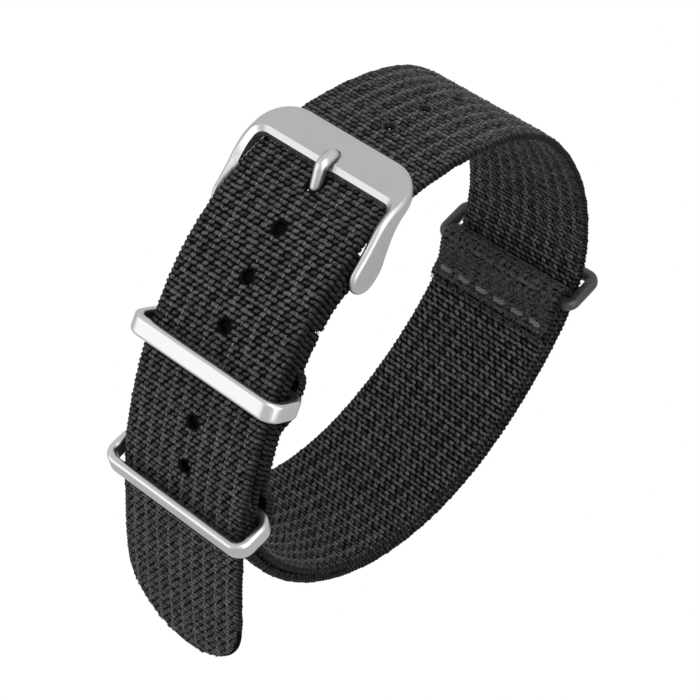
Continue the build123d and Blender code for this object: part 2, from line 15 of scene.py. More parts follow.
import bpy
import numpy as np
from mathutils import Matrix, Vector
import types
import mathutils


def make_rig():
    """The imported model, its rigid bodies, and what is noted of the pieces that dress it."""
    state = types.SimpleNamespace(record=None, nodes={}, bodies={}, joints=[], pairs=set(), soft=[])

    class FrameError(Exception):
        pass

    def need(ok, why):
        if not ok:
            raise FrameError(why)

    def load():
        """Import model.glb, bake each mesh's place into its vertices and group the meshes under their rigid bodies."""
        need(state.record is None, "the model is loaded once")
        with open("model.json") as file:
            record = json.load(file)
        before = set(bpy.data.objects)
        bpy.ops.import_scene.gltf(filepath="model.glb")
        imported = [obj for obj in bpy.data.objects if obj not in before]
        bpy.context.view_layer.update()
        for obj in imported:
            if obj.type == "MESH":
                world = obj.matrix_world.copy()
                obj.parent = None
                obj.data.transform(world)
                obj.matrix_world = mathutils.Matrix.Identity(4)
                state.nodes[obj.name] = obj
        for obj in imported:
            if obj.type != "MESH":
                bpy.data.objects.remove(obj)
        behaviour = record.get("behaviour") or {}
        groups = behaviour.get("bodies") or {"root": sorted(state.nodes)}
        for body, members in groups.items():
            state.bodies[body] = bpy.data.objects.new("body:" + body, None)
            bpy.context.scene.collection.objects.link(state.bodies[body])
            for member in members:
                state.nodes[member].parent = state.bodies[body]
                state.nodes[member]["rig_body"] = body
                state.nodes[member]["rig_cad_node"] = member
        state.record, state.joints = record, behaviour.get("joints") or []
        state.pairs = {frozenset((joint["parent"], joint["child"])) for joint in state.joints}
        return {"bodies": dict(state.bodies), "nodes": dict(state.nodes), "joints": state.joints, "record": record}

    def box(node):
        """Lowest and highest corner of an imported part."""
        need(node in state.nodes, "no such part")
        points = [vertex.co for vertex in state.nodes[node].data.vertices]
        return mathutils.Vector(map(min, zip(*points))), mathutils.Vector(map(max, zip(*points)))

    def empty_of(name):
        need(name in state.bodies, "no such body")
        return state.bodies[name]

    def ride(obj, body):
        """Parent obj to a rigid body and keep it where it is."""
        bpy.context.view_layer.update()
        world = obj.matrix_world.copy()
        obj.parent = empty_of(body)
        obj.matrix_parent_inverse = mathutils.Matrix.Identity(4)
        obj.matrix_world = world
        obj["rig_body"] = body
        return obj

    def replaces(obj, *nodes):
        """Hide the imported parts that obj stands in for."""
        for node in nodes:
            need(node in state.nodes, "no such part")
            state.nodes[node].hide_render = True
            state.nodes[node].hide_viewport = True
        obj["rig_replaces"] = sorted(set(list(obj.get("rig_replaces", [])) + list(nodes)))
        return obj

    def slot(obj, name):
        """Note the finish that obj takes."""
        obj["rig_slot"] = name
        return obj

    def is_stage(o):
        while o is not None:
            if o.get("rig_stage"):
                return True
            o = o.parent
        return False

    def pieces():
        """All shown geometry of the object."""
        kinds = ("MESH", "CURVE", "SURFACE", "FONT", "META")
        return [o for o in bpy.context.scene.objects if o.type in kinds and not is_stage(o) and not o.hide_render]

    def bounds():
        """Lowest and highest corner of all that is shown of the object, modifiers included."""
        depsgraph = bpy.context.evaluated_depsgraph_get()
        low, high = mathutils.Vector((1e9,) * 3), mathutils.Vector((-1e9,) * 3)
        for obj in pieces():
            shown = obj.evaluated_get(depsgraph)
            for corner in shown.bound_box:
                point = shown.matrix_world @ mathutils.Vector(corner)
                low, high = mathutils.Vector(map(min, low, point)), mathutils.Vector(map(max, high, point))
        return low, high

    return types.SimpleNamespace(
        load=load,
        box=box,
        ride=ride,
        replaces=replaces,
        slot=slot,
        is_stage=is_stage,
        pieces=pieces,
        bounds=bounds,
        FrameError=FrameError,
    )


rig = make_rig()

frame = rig.load()

LOG = logging.getLogger("watch_strap")
MM = 0.001
SIZE_FILE = "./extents.json"


class Face(Enum):
    """Side of the webbing, as the sign of its distance towards the wrist."""

    OUTER = -1
    INNER = 1


class SideLine:
    """A line in the side view, made of straight runs and tangent arcs, in millimetres."""

    def __init__(self, x: float, z: float, heading: float) -> None:
        """Starts a line.

        Args:
            x: x of its start.
            z: z of its start.
            heading: its direction there, in degrees.
        """
        self.start = (x, z, math.radians(heading))
        self.runs: list[tuple[float, float]] = []

    @staticmethod
    def _step(here: tuple[float, float, float], length: float, turn: float) -> tuple[float, float, float]:
        """Goes on by one run.

        Args:
            here: x, z and heading in radians at the run's start.
            length: the run's length.
            turn: how far it turns, in radians.

        Returns:
            x, z and heading at its end.
        """
        x, z, heading = here
        chord = length if abs(turn) < 1e-12 else length * math.sin(turn / 2) / (turn / 2)
        middle = heading + turn / 2
        return x + chord * math.cos(middle), z + chord * math.sin(middle), heading + turn

    def _starts(self) -> np.ndarray:
        """Goes along the whole line.

        Returns:
            Rows of x, z and heading at the start of each run, and at the end.
        """
        frames = [self.start]
        for length, turn in self.runs:
            frames.append(self._step(frames[-1], length, turn))
        return np.array(frames)

    @property
    def length(self) -> float:
        """Length of the whole line."""
        return sum(length for length, _ in self.runs)

    def end(self) -> tuple[float, float, float]:
        """Place and heading, in radians, at the end."""
        return tuple(self._starts()[-1])

    def add(self, length: float, turn_deg: float) -> "SideLine":
        """Adds a run.

        Args:
            length: its length.
            turn_deg: how far it turns, in degrees.

        Returns:
            The line itself.
        """
        self.runs.append((length, math.radians(turn_deg)))
        return self

    def arc(self, radius: float, turn_deg: float) -> "SideLine":
        """Adds an arc."""
        return self.add(radius * math.radians(abs(turn_deg)), turn_deg)

    def arc_to(self, x: float, z: float) -> "SideLine":
        """Adds the tangent arc that ends at a point.

        Args:
            x: x of the point.
            z: z of the point.

        Returns:
            The line itself.
        """
        px, pz, heading = self.end()
        turn = 2 * math.remainder(math.atan2(z - pz, x - px) - heading, 2 * math.pi)
        chord = math.hypot(x - px, z - pz)
        half = turn / 2
        length = chord if abs(half) < 1e-9 else chord * half / math.sin(half)
        return self.add(length, math.degrees(turn))

    def blend_to(self, x: float, z: float, heading_deg: float) -> "SideLine":
        """Adds two tangent arcs that end at a point with a heading.

        Args:
            x: x of the point.
            z: z of the point.
            heading_deg: the heading there, in degrees.

        Returns:
            The line itself.
        """
        px, pz, start = self.end()
        heading = math.radians(heading_deg)
        a = np.array([math.cos(start), math.sin(start)])
        b = np.array([math.cos(heading), math.sin(heading)])
        v = np.array([x - px, z - pz])
        vt, spread, square = v @ (a + b), 2 * (1 - a @ b), v @ v
        reach = square / (2 * vt) if spread < 1e-9 else (math.sqrt(vt * vt + spread * square) - vt) / spread
        middle = (np.array([px + x, pz + z]) + reach * (a - b)) / 2
        return self.arc_to(*middle).arc_to(x, z)

    def follow(self, guide: "SideLine", start: float, finish: float, left: float) -> "SideLine":
        """Adds the guide's runs between two stations, moved to its left.

        Args:
            guide: the line to follow.
            start: the station on it where the runs begin.
            finish: the station where they end, before the start for a line that runs back.
            left: how far to the guide's left.

        Returns:
            The line itself.
        """
        pieces, station = [], 0.0
        low, high = min(start, finish), max(start, finish)
        for length, turn in guide.runs:
            a, b = max(station, low), min(station + length, high)
            if b > a:
                part = turn * (b - a) / length
                pieces.append((b - a - left * part, part))
            station += length
        if finish < start:
            pieces = [(length, -turn) for length, turn in reversed(pieces)]
        self.runs += pieces
        return self

    def at(self, station: np.ndarray | float, left: np.ndarray | float = 0.0) -> tuple[np.ndarray, ...]:
        """Places along the line.

        Args:
            station: lengths along the line.
            left: distances to its left, towards the wrist.

        Returns:
            x, z and heading in radians.
        """
        station = np.asarray(station, float)
        frames = self._starts()
        lengths = np.array([length for length, _ in self.runs])
        turns = np.array([turn for _, turn in self.runs])
        ends = np.cumsum(lengths)
        k = np.clip(np.searchsorted(ends, station), 0, len(lengths) - 1)
        along = station - (ends[k] - lengths[k])
        angle = turns[k] * along / lengths[k]
        chord = along * np.sinc(angle / 2 / np.pi)
        middle = frames[k, 2] + angle / 2
        heading = frames[k, 2] + angle
        x = frames[k, 0] + chord * np.cos(middle) - left * np.sin(heading)
        z = frames[k, 1] + chord * np.sin(middle) + left * np.cos(heading)
        return x, z, heading


@dataclass(frozen=True)
class StrapSizes:
    """Sizes of the webbing's course, the same as the CAD's, in millimetres and degrees."""

    width: float = 22.0
    thickness: float = 1.3
    tail_gap: float = 0.45
    layer_gap: float = 0.08
    loop_width: float = 72.0
    crown_heading: float = 182.3
    tail_bends: tuple[tuple[float, float], ...] = ((0.407, 51.0), (0.777, 31.0), (3.570, 6.2))
    loop_bends: tuple[tuple[float, float], ...] = (
        (0.125, 29.7), (0.524, 46.5), (0.447, 50.0), (0.693, 23.1), (0.318, 39.1),
    )
    closing_turn: float = 36.8
    shoulder_share: float = 0.349
    shoulder_turn: float = 30.3
    crown_to_hinge: float = 13.3
    bar_radius: float = 0.75
    bar_clearance: float = 0.05
    fold_turn: float = 208.0
    fold_split: float = 6.5
    fold_leg: float = 9.6
    keeper_thickness: float = 1.25
    keeper_width: float = 2.8
    tunnel_clearance: float = 0.36
    tunnel_ramp: float = 3.6
    upper_keeper: float = 19.5
    lower_keeper: float = 38.3
    ring_radius: float = 0.9
    ring_gap: float = 0.1
    ring_past_bend: float = 5.4
    short_leaves: float = 24.0
    short_slope_change: float = 16.5
    ring_fold_straight: float = 7.0
    ring_fold_split: float = 4.2
    ring_fold_leg: float = 6.4
    leg_end_gap: float = 0.08
    hole_diameter: float = 2.0
    hole_pitch: float = 7.0
    tongue_hole_length: float = 3.3
    tongue_from_hinge: float = 5.9
    slit_width: float = 2.8
    holes_before_tongue: int = 4
    holes_after_tongue: int = 6


class StrapCourse:
    """Centre lines of both straps, worked out as in the CAD."""

    SAMPLES = 6000

    def __init__(self, sizes: StrapSizes) -> None:
        """Lays out both lines.

        Args:
            sizes: the sizes that set the course.
        """
        self.sizes = sizes
        self.under_tail = sizes.thickness + sizes.tail_gap
        self.layer = sizes.thickness + sizes.layer_gap
        self.tail = SideLine(0.0, 0.0, sizes.crown_heading)
        for share, turn in sizes.tail_bends:
            self.tail.arc(share * sizes.loop_width, turn)
        self.long = self._long_line()
        self.short = self._short_line()
        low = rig.box("long_strap")[0]
        station = np.linspace(0, self.long.length, self.SAMPLES)
        x, z, _ = self.long.at(station, -sizes.thickness / 2)
        self.shift = (low[0] / MM - x.min(), low[2] / MM - z.min())

    def _place(self, line: SideLine, station: float, along: float, left: float) -> tuple[float, float, float]:
        """Place beside a line.

        Args:
            line: the line.
            station: length along it.
            along: how far past the station in its direction there.
            left: how far to its left.

        Returns:
            x, z and the line's heading in degrees.
        """
        x, z, heading = (float(v) for v in line.at(station, left))
        return x + along * math.cos(heading), z + along * math.sin(heading), math.degrees(heading)

    def _closing(self, start: tuple[float, ...], finish: tuple[float, ...], turns: Sequence[float],
                 radius: float) -> tuple[float, float]:
        """Fits three tangent arcs between two places.

        Args:
            start: x, z and heading in radians where they begin.
            finish: x and z where they end.
            turns: how far each arc turns, in degrees.
            radius: radius of the middle arc.

        Returns:
            Radii of the first and the last arc.
        """
        a = start[2]
        b, c = a + math.radians(turns[0]), a + math.radians(turns[0] + turns[1])
        d = c + math.radians(turns[2])
        chords = [
            np.array([math.sin(q) - math.sin(p), math.cos(p) - math.cos(q)]) for p, q in ((a, b), (b, c), (c, d))
        ]
        rest = np.array(finish) - np.array(start[:2]) - radius * chords[1]
        return tuple(np.linalg.solve(np.column_stack([chords[0], chords[2]]), rest))

    def _long_line(self) -> SideLine:
        """Lays out the long strap, and notes where its hinge, ring and crown are.

        Returns:
            Its line, from the fold's leg round the loop to the tail's tip.
        """
        s = self.sizes
        hinge_x, hinge_z, hinge_heading = self._place(self.tail, s.crown_to_hinge, 0, 0)
        fold = s.bar_radius + s.bar_clearance + s.thickness / 2
        depth = self.under_tail + fold
        a = math.radians(hinge_heading)
        self.hinge = (hinge_x - depth * math.sin(a), hinge_z + depth * math.cos(a))
        inner = self.under_tail + self.layer
        x, z, heading = self._place(self.tail, s.crown_to_hinge + s.fold_leg, 0, inner)
        line = SideLine(x, z, heading + 180)
        line.follow(self.tail, s.crown_to_hinge + s.fold_leg, s.crown_to_hinge + s.fold_split, inner)
        entry = hinge_heading - s.fold_turn
        e = math.radians(entry)
        line.blend_to(self.hinge[0] + fold * math.sin(e), self.hinge[1] - fold * math.cos(e), entry)
        line.arc(fold, s.fold_turn)
        self.hinge_station = line.length
        stack_end = sum(length for length, _ in self.tail.runs[:2])
        line.follow(self.tail, s.crown_to_hinge, stack_end, self.under_tail)
        for share, turn in s.loop_bends:
            line.arc(share * s.loop_width, turn)
        self.ring_station = line.length - line.runs[-1][0] + s.ring_past_bend
        here = line.end()
        left_to_turn = self.tail.start[2] - here[2] - math.radians(s.closing_turn + s.shoulder_turn)
        last = math.degrees(math.remainder(left_to_turn, 2 * math.pi))
        shoulder = s.shoulder_share * s.loop_width
        side, crown = self._closing(here, self.tail.start[:2], (s.closing_turn, s.shoulder_turn, last), shoulder)
        line.arc(side, s.closing_turn).arc(shoulder, s.shoulder_turn).arc(crown, last)
        self.crown_station = line.length
        return line.follow(self.tail, 0.0, self.tail.length, 0.0)

    def _short_line(self) -> SideLine:
        """Lays out the short strap, and notes where its tunnels and its fold are.

        Returns:
            Its line, from the hinge's side to the end of the ring's fold.
        """
        s = self.sizes
        start = self.hinge_station + s.fold_leg + s.leg_end_gap
        height = s.keeper_thickness + 2 * s.tunnel_clearance
        half = s.keeper_width / 2 + s.tunnel_clearance
        bulge = s.thickness + height
        x, z, heading = self._place(self.long, start, 0, self.layer)
        line = SideLine(x, z, heading)
        self.tunnels = [self.hinge_station + s.upper_keeper, self.hinge_station + s.lower_keeper]
        self.tunnel_depth = s.thickness / 2 + height / 2
        for station in self.tunnels:
            line.follow(self.long, start, station - half - s.tunnel_ramp, self.layer)
            line.blend_to(*self._place(self.long, station - half, 0, bulge))
            line.follow(self.long, station - half, station + half, bulge)
            start = station + half + s.tunnel_ramp
            line.blend_to(*self._place(self.long, start, 0, self.layer))
        line.follow(self.long, start, self.ring_station - s.loop_width / 2 - s.short_leaves, self.layer)
        fold = s.ring_radius + s.bar_clearance + s.thickness / 2
        px, pz, ring_heading = self._place(self.long, self.ring_station, 0, s.thickness + s.ring_gap + fold)
        slope = ring_heading - s.short_slope_change
        a = math.radians(slope)
        fx, fz = px + fold * math.sin(a), pz - fold * math.cos(a)

        def back(along: float, left: float) -> tuple[float, float]:
            """Point beside the fold's start, as x and z."""
            return fx + along * math.cos(a) - left * math.sin(a), fz + along * math.sin(a) + left * math.cos(a)

        line.blend_to(*back(-s.ring_fold_straight, 0), slope)
        line.add(s.ring_fold_straight, 0)
        self.short_fold_station = line.length
        line.arc(fold, s.fold_turn)
        line.blend_to(*back(-s.ring_fold_split, self.layer), slope + 180)
        return line.add(s.ring_fold_leg - s.ring_fold_split, 0)

    def hole_stations(self) -> tuple[float, list[float]]:
        """Where the holes of the long strap are.

        Returns:
            Stations of the tongue's hole and of the others.
        """
        s = self.sizes
        first = self.crown_station + s.crown_to_hinge - s.tongue_from_hinge
        steps = range(-s.holes_before_tongue, s.holes_after_tongue + 1)
        return first, [first + k * s.hole_pitch for k in steps if k != 0]

    def points(self, line: SideLine, station: np.ndarray, y: np.ndarray, left: np.ndarray) -> np.ndarray:
        """Points in the CAD's frame, in metres.

        Args:
            line: one of the course's lines.
            station: lengths along it.
            y: distances across the strap.
            left: distances towards the wrist.

        Returns:
            One row for each point.
        """
        x, z, _ = line.at(station, left)
        return np.stack([x + self.shift[0], np.broadcast_to(y, x.shape), z + self.shift[1]], -1) * MM


# What an input of a node takes: a link or a value
Input = bpy.types.NodeSocket | float | Sequence[float]


class Nodes:
    """Short way to write a node material."""

    def __init__(self, name: str) -> None:
        """Starts a material.

        Args:
            name: its name.
        """
        self.material = bpy.data.materials.new(name)
        self.material.use_nodes = True
        self.tree = self.material.node_tree
        self.shader = self.tree.nodes["Principled BSDF"]

    def add(self, kind: str, inputs: dict[str | int, Input] | None = None, **settings: str) -> bpy.types.Node:
        """Adds a node.

        Args:
            kind: its class name.
            inputs: values or sockets, by input name or number.
            settings: its own properties.

        Returns:
            The node.
        """
        node = self.tree.nodes.new(kind)
        for key, value in settings.items():
            setattr(node, key, value)
        for key, value in (inputs or {}).items():
            self.set(node, key, value)
        return node

    def set(self, node: bpy.types.Node, key: str | int, value: Input) -> None:
        """Gives one input a value or a link.

        Args:
            node: the node.
            key: the input's name or number.
            value: the value, or the socket to link.
        """
        socket = node.inputs[key]
        if isinstance(value, bpy.types.NodeSocket):
            self.tree.links.new(value, socket)
        else:
            socket.default_value = value

    def look(self, **values: float) -> None:
        """Sets plain inputs of the shader, with their names' spaces as underscores."""
        for name, value in values.items():
            self.set(self.shader, name.replace("_", " "), value)

    def maths(self, operation: str, a: Input, b: Input = 0.0) -> bpy.types.NodeSocket:
        """Sum, product or other operation of two values."""
        return self.add("ShaderNodeMath", {0: a, 1: b}, operation=operation).outputs[0]

    def mix(self, first: bpy.types.NodeSocket, share: float, second: bpy.types.NodeSocket) -> bpy.types.NodeSocket:
        """The first value's share and the rest of the second."""
        rest = round(1 - share, 6)
        return self.maths("ADD", self.maths("MULTIPLY", first, share), self.maths("MULTIPLY", second, rest))

    def stretched(self, vector: bpy.types.NodeSocket, scale: Sequence[float]) -> bpy.types.NodeSocket:
        """Coordinates with a scale for each axis."""
        return self.add("ShaderNodeMapping", {"Vector": vector, "Scale": scale}).outputs[0]

    def noise(self, vector: bpy.types.NodeSocket, scale: float, detail: float) -> bpy.types.NodeSocket:
        """Noise between zero and one."""
        return self.add("ShaderNodeTexNoise", {"Vector": vector, "Scale": scale, "Detail": detail}).outputs["Fac"]

    def ramp(self, value: bpy.types.NodeSocket, *stops: tuple[float, Sequence[float]]) -> bpy.types.NodeSocket:
        """Blends two colours by a value.

        Args:
            value: the value.
            stops: the value and the colour at each end.

        Returns:
            The blended colour.
        """
        node = self.add("ShaderNodeValToRGB", {"Fac": value})
        for element, (place, colour) in zip(node.color_ramp.elements, stops):
            element.position, element.color = place, (*colour, 1)
        return node.outputs["Color"]

    def around(self, value: bpy.types.NodeSocket, middle: float, spread: Sequence[float]) -> bpy.types.NodeSocket:
        """The value from zero to one, brought between two distances from a middle."""
        low, high = (middle + side for side in spread)
        return self.add("ShaderNodeMapRange", {"Value": value, 3: low, 4: high}).outputs[0]

    def bump(self, height: bpy.types.NodeSocket, strength: float, distance: float) -> bpy.types.NodeSocket:
        """Normal for a height."""
        return self.add("ShaderNodeBump", {"Height": height, "Strength": strength, "Distance": distance}).outputs[0]


def grey(value: float, warm: float = 0.0) -> tuple[float, float, float]:
    """A grey with a little warmth, as linear colour."""
    return value * (1 + warm), value, value * (1 - warm)


@dataclass(frozen=True)
class YarnFinish:
    """Filament nylon yarn."""

    name: str
    dark: float
    light: float
    roughness: float
    sheen: float = 0.2
    gloss: float = 0.4
    filament_across: float = 9.0
    filament_along: float = 1.2
    relief: float = 0.02

    FIBRE_NOISE, FIBRE_SHARE = (2.2, 4.0), 0.8
    BLOTCH_NOISE = (2400.0, 2.0)
    DARK_AT, LIGHT_AT = 0.22, 0.66
    HUE = -0.01
    ROUGHNESS_SPREAD, SHEEN_ROUGHNESS, BUMP = (-0.08, 0.12), 0.45, 0.6

    def build(self) -> bpy.types.Material:
        """Makes the material.

        Returns:
            A material that reads the yarn map and the tone attribute, which carries painted shade and highlight.
        """
        n = Nodes(self.name)
        where = n.add("ShaderNodeUVMap", uv_map="yarn").outputs[0]
        fibre = n.noise(n.stretched(where, (self.filament_across, self.filament_along, 1.0)), *self.FIBRE_NOISE)
        blotch = n.noise(n.add("ShaderNodeTexCoord").outputs["Object"], *self.BLOTCH_NOISE)
        tone = n.add("ShaderNodeAttribute", attribute_name="tone").outputs["Fac"]
        mixed = n.maths("MULTIPLY", n.mix(fibre, self.FIBRE_SHARE, blotch), tone)
        dark, light = (self.DARK_AT, grey(self.dark, self.HUE)), (self.LIGHT_AT, grey(self.light, self.HUE))
        n.set(n.shader, "Base Color", n.ramp(mixed, dark, light))
        n.set(n.shader, "Roughness", n.around(fibre, self.roughness, self.ROUGHNESS_SPREAD))
        n.look(Sheen_Weight=self.sheen, Sheen_Roughness=self.SHEEN_ROUGHNESS, Specular_IOR_Level=self.gloss)
        n.set(n.shader, "Normal", n.bump(fibre, self.BUMP, self.relief * MM))
        return n.material


@dataclass(frozen=True)
class SteelFinish:
    """Steel with a blasted or brushed skin."""

    name: str
    base: float
    roughness: float
    grain: float = 9000.0
    grain_height: float = 0.004
    warm: float = 0.01

    GRAIN_DETAIL = 2.0
    SMEAR_NOISE, SMEAR_SHARE = (350.0, 4.0), 0.7
    MARK_NOISE, MARK_STRETCH = (700.0, 3.0), (1.0, 8.0, 1.0)
    DARK_AT, LIGHT_AT, DARKEST = 0.3, 0.7, 0.93
    ROUGHNESS_SPREAD, BUMP = (-0.05, 0.07), 0.35

    def build(self) -> bpy.types.Material:
        """Makes the material.

        Returns:
            A metal with fine grain and faint handling marks.
        """
        n = Nodes(self.name)
        where = n.add("ShaderNodeTexCoord").outputs["Object"]
        grain = n.noise(where, self.grain, self.GRAIN_DETAIL)
        smear = n.noise(where, *self.SMEAR_NOISE)
        marks = n.noise(n.stretched(where, self.MARK_STRETCH), *self.MARK_NOISE)
        dark = (self.DARK_AT, grey(self.base * self.DARKEST, self.warm))
        light = (self.LIGHT_AT, grey(self.base, self.warm))
        n.set(n.shader, "Base Color", n.ramp(n.mix(smear, self.SMEAR_SHARE, marks), dark, light))
        n.look(Metallic=1.0)
        n.set(n.shader, "Roughness", n.around(smear, self.roughness, self.ROUGHNESS_SPREAD))
        n.set(n.shader, "Normal", n.bump(grain, self.BUMP, self.grain_height * MM))
        return n.material


@dataclass(frozen=True)
class CoatedFinish:
    """Black coated steel wire."""

    name: str
    colour: float = 0.02
    roughness: float = 0.36
    skin_height: float = 0.004

    PATCH_NOISE, SKIN_NOISE = (600.0, 4.0), (5000.0, 2.0)
    DARK_AT, LIGHT_AT, LIGHTEST = 0.3, 0.75, 1.7
    ROUGHNESS_SPREAD, BUMP = (-0.06, 0.1), 0.3
    COAT, COAT_ROUGHNESS = 0.3, 0.25

    def build(self) -> bpy.types.Material:
        """Makes the material.

        Returns:
            A dark coat with a soft gloss and small uneven patches.
        """
        n = Nodes(self.name)
        where = n.add("ShaderNodeTexCoord").outputs["Object"]
        patches, skin = n.noise(where, *self.PATCH_NOISE), n.noise(where, *self.SKIN_NOISE)
        dark, light = (self.DARK_AT, grey(self.colour)), (self.LIGHT_AT, grey(self.colour * self.LIGHTEST))
        n.set(n.shader, "Base Color", n.ramp(patches, dark, light))
        n.set(n.shader, "Roughness", n.around(patches, self.roughness, self.ROUGHNESS_SPREAD))
        n.look(Coat_Weight=self.COAT, Coat_Roughness=self.COAT_ROUGHNESS)
        n.set(n.shader, "Normal", n.bump(skin, self.BUMP, self.skin_height * MM))
        return n.material


@dataclass
class MeshParts:
    """Vertices and faces gathered for one object."""

    points: list[np.ndarray] = field(default_factory=list)
    faces: list[np.ndarray] = field(default_factory=list)
    slots: list[np.ndarray] = field(default_factory=list)
    tones: list[np.ndarray] = field(default_factory=list)
    yarn: list[np.ndarray] = field(default_factory=list)
    count: int = 0

    def add(self, points: np.ndarray, faces: np.ndarray, slot: int, tone: np.ndarray, yarn: np.ndarray) -> None:
        """Adds quads.

        Args:
            points: one row for each vertex, in metres.
            faces: four vertex numbers in each row.
            slot: material slot of all of them.
            tone: brightness of each vertex: random tone, and on the yarns painted shade and highlight as well.
            yarn: place of each vertex along and across the yarn, in millimetres.
        """
        self.points.append(points)
        self.faces.append(faces + self.count)
        self.slots.append(np.full(len(faces), slot))
        self.tones.append(np.broadcast_to(tone, len(points)))
        self.yarn.append(yarn)
        self.count += len(points)

    def build(self, name: str, materials: Iterable[bpy.types.Material]) -> bpy.types.Object:
        """Makes the object.

        Args:
            name: its name.
            materials: its material slots in order.

        Returns:
            The new object, smooth shaded.
        """
        points = np.concatenate(self.points).astype(np.float32)
        faces = np.concatenate(self.faces).astype(np.int32)
        mesh = bpy.data.meshes.new(name)
        mesh.vertices.add(len(points))
        mesh.vertices.foreach_set("co", points.ravel())
        mesh.loops.add(faces.size)
        mesh.loops.foreach_set("vertex_index", faces.ravel())
        mesh.polygons.add(len(faces))
        mesh.polygons.foreach_set("loop_start", np.arange(0, faces.size, 4, dtype=np.int32))
        mesh.polygons.foreach_set("material_index", np.concatenate(self.slots).astype(np.int32))
        mesh.polygons.foreach_set("use_smooth", np.ones(len(faces), bool))
        mesh.update(calc_edges=True)
        tone = mesh.attributes.new("tone", "FLOAT", "POINT")
        tone.data.foreach_set("value", np.concatenate(self.tones).astype(np.float32))
        uv = mesh.uv_layers.new(name="yarn")
        uv.data.foreach_set("uv", np.concatenate(self.yarn).astype(np.float32)[faces.ravel()].ravel())
        mesh.validate()
        obj = bpy.data.objects.new(name, mesh)
        bpy.context.scene.collection.objects.link(obj)
        for material in materials:
            mesh.materials.append(material)
        return obj


def ring_angles(count: int) -> np.ndarray:
    """Angles in equal steps once round, in radians."""
    return np.linspace(0, 2 * np.pi, count + 1)[:-1]


def grid_faces(rows: int, columns: int, closed: bool = False) -> np.ndarray:
    """Quads of a grid of vertices, row by row.

    Args:
        rows: number of rows of vertices.
        columns: number of vertices in each row.
        closed: whether each row's last vertex joins its first.

    Returns:
        Four vertex numbers in each row.
    """
    wrap = columns if closed else columns - 1
    i, j = np.meshgrid(np.arange(rows - 1), np.arange(wrap), indexing="ij")
    k = (j + 1) % columns
    return np.stack([i * columns + j, i * columns + k, (i + 1) * columns + k, (i + 1) * columns + j], -1).reshape(-1, 4)


def cap_faces(count: int, shift: int = 0) -> np.ndarray:
    """Quads that close a ring of vertices from side to side.

    Args:
        count: number of vertices in the ring, an even number.
        shift: how many vertices before the first one the strip of quads begins.

    Returns:
        Four vertex numbers in each row.
    """
    k = np.arange(count // 2)
    near, far = (k - shift) % count, (-1 - shift - k) % count
    return np.stack([near[:-1], near[1:], far[1:], far[:-1]], -1)


def repeated(quads: np.ndarray, size: int, count: int, turned: bool = False) -> np.ndarray:
    """Quads of many copies of one small mesh.

    Args:
        quads: the quads of the first copy.
        size: number of vertices in a copy.
        count: number of copies.
        turned: whether the quads look to the other side.

    Returns:
        Four vertex numbers in each row.
    """
    quads = quads[:, ::-1] if turned else quads
    return (quads[None] + (np.arange(count) * size)[:, None, None]).reshape(-1, 4)


@dataclass(frozen=True)
class Hole:
    """A hole through a strap, in millimetres.

    The stretch draws it out along the strap to a slot, the waist narrows it halfway through, and the lean moves it
    along the strap for each millimetre towards the wrist. A backed hole, which lies on another layer, ends in a
    near-black disk: painted shade for the layer beneath.
    """

    station: float
    radius: float
    stretch: float = 0.0
    waist: float = 0.3
    lean: float = 0.0
    backed: bool = False

    OPEN_WAIST = 0.5

    @property
    def nearly_closed(self) -> bool:
        """Whether the webbing's fibres fill most of it."""
        return self.waist > self.OPEN_WAIST

    def outline(self, radius: np.ndarray | float, turn: np.ndarray, left: float) -> tuple[np.ndarray, np.ndarray]:
        """Points round the hole.

        Args:
            radius: distance from the middle, or from the slot's middles.
            turn: angles round it in radians.
            left: distance from the strap's middle towards the wrist.

        Returns:
            Stations and y.
        """
        way = np.sign(np.round(np.cos(turn), 6))
        return self.station + self.lean * left + radius * np.cos(turn) + self.stretch * way, radius * np.sin(turn)


@dataclass(frozen=True)
class Float:
    """A stretch of yarn that shows on the face and repeats in every cell of the weave.

    It lies in the even or the odd rows. The shares give its middles in the cell, and the halves are
    its size along the strap and across it, in millimetres.
    """

    odd_rows: bool
    shares: tuple[float, ...]
    half_along: float
    half_across: float
    height: float
    fleck: bool = False
    tone: float = 1.0


class Slot(IntEnum):
    """Material slots of the webbing. The ground's near-black is painted shade in the gaps between the yarns."""

    GROUND = 0
    YARN = 1
    FLECK = 2
    # near-black painted shade inside the holes
    RIM = 3


@dataclass(frozen=True)
class Weave:
    """Sizes of the weave, in millimetres."""

    row: float = 0.775
    cell: float = 2.2
    relief: float = 0.26
    edge_radius: float = 0.55
    edge_setback: float = 0.06
    slant: float = 0.1
    hook: float = 0.09
    uneven: float = 0.2
    edge_lift: float = 0.16
    edge_hook: float = 0.12
    edge_clearance: float = 0.5
    hole_clearance: float = 0.12
    start_clearance: float = 0.3
    end_clearance: float = 0.35
    shortest: float = 0.24
    outer: tuple[Float, ...] = (
        Float(False, (0.25, 0.75), 0.42, 0.56, 0.27),
        Float(True, (0.0,), 0.44, 0.52, 0.31, tone=1.1),
        Float(True, (0.5,), 0.40, 0.58, 0.25, tone=0.78),
        Float(False, (0.0,), 0.36, 0.08, 0.33, True),
    )
    inner: tuple[Float, ...] = (
        Float(False, (0.25, 0.75), 0.40, 0.58, 0.25),
        Float(True, (0.0,), 0.42, 0.50, 0.32, tone=1.15),
        Float(True, (0.5,), 0.38, 0.62, 0.24, tone=0.72),
        Float(False, (0.0,), 0.22, 0.09, 0.32, True),
    )

    def floats(self, face: Face) -> tuple[Float, ...]:
        """The floats that show on a face."""
        return self.outer if face is Face.OUTER else self.inner


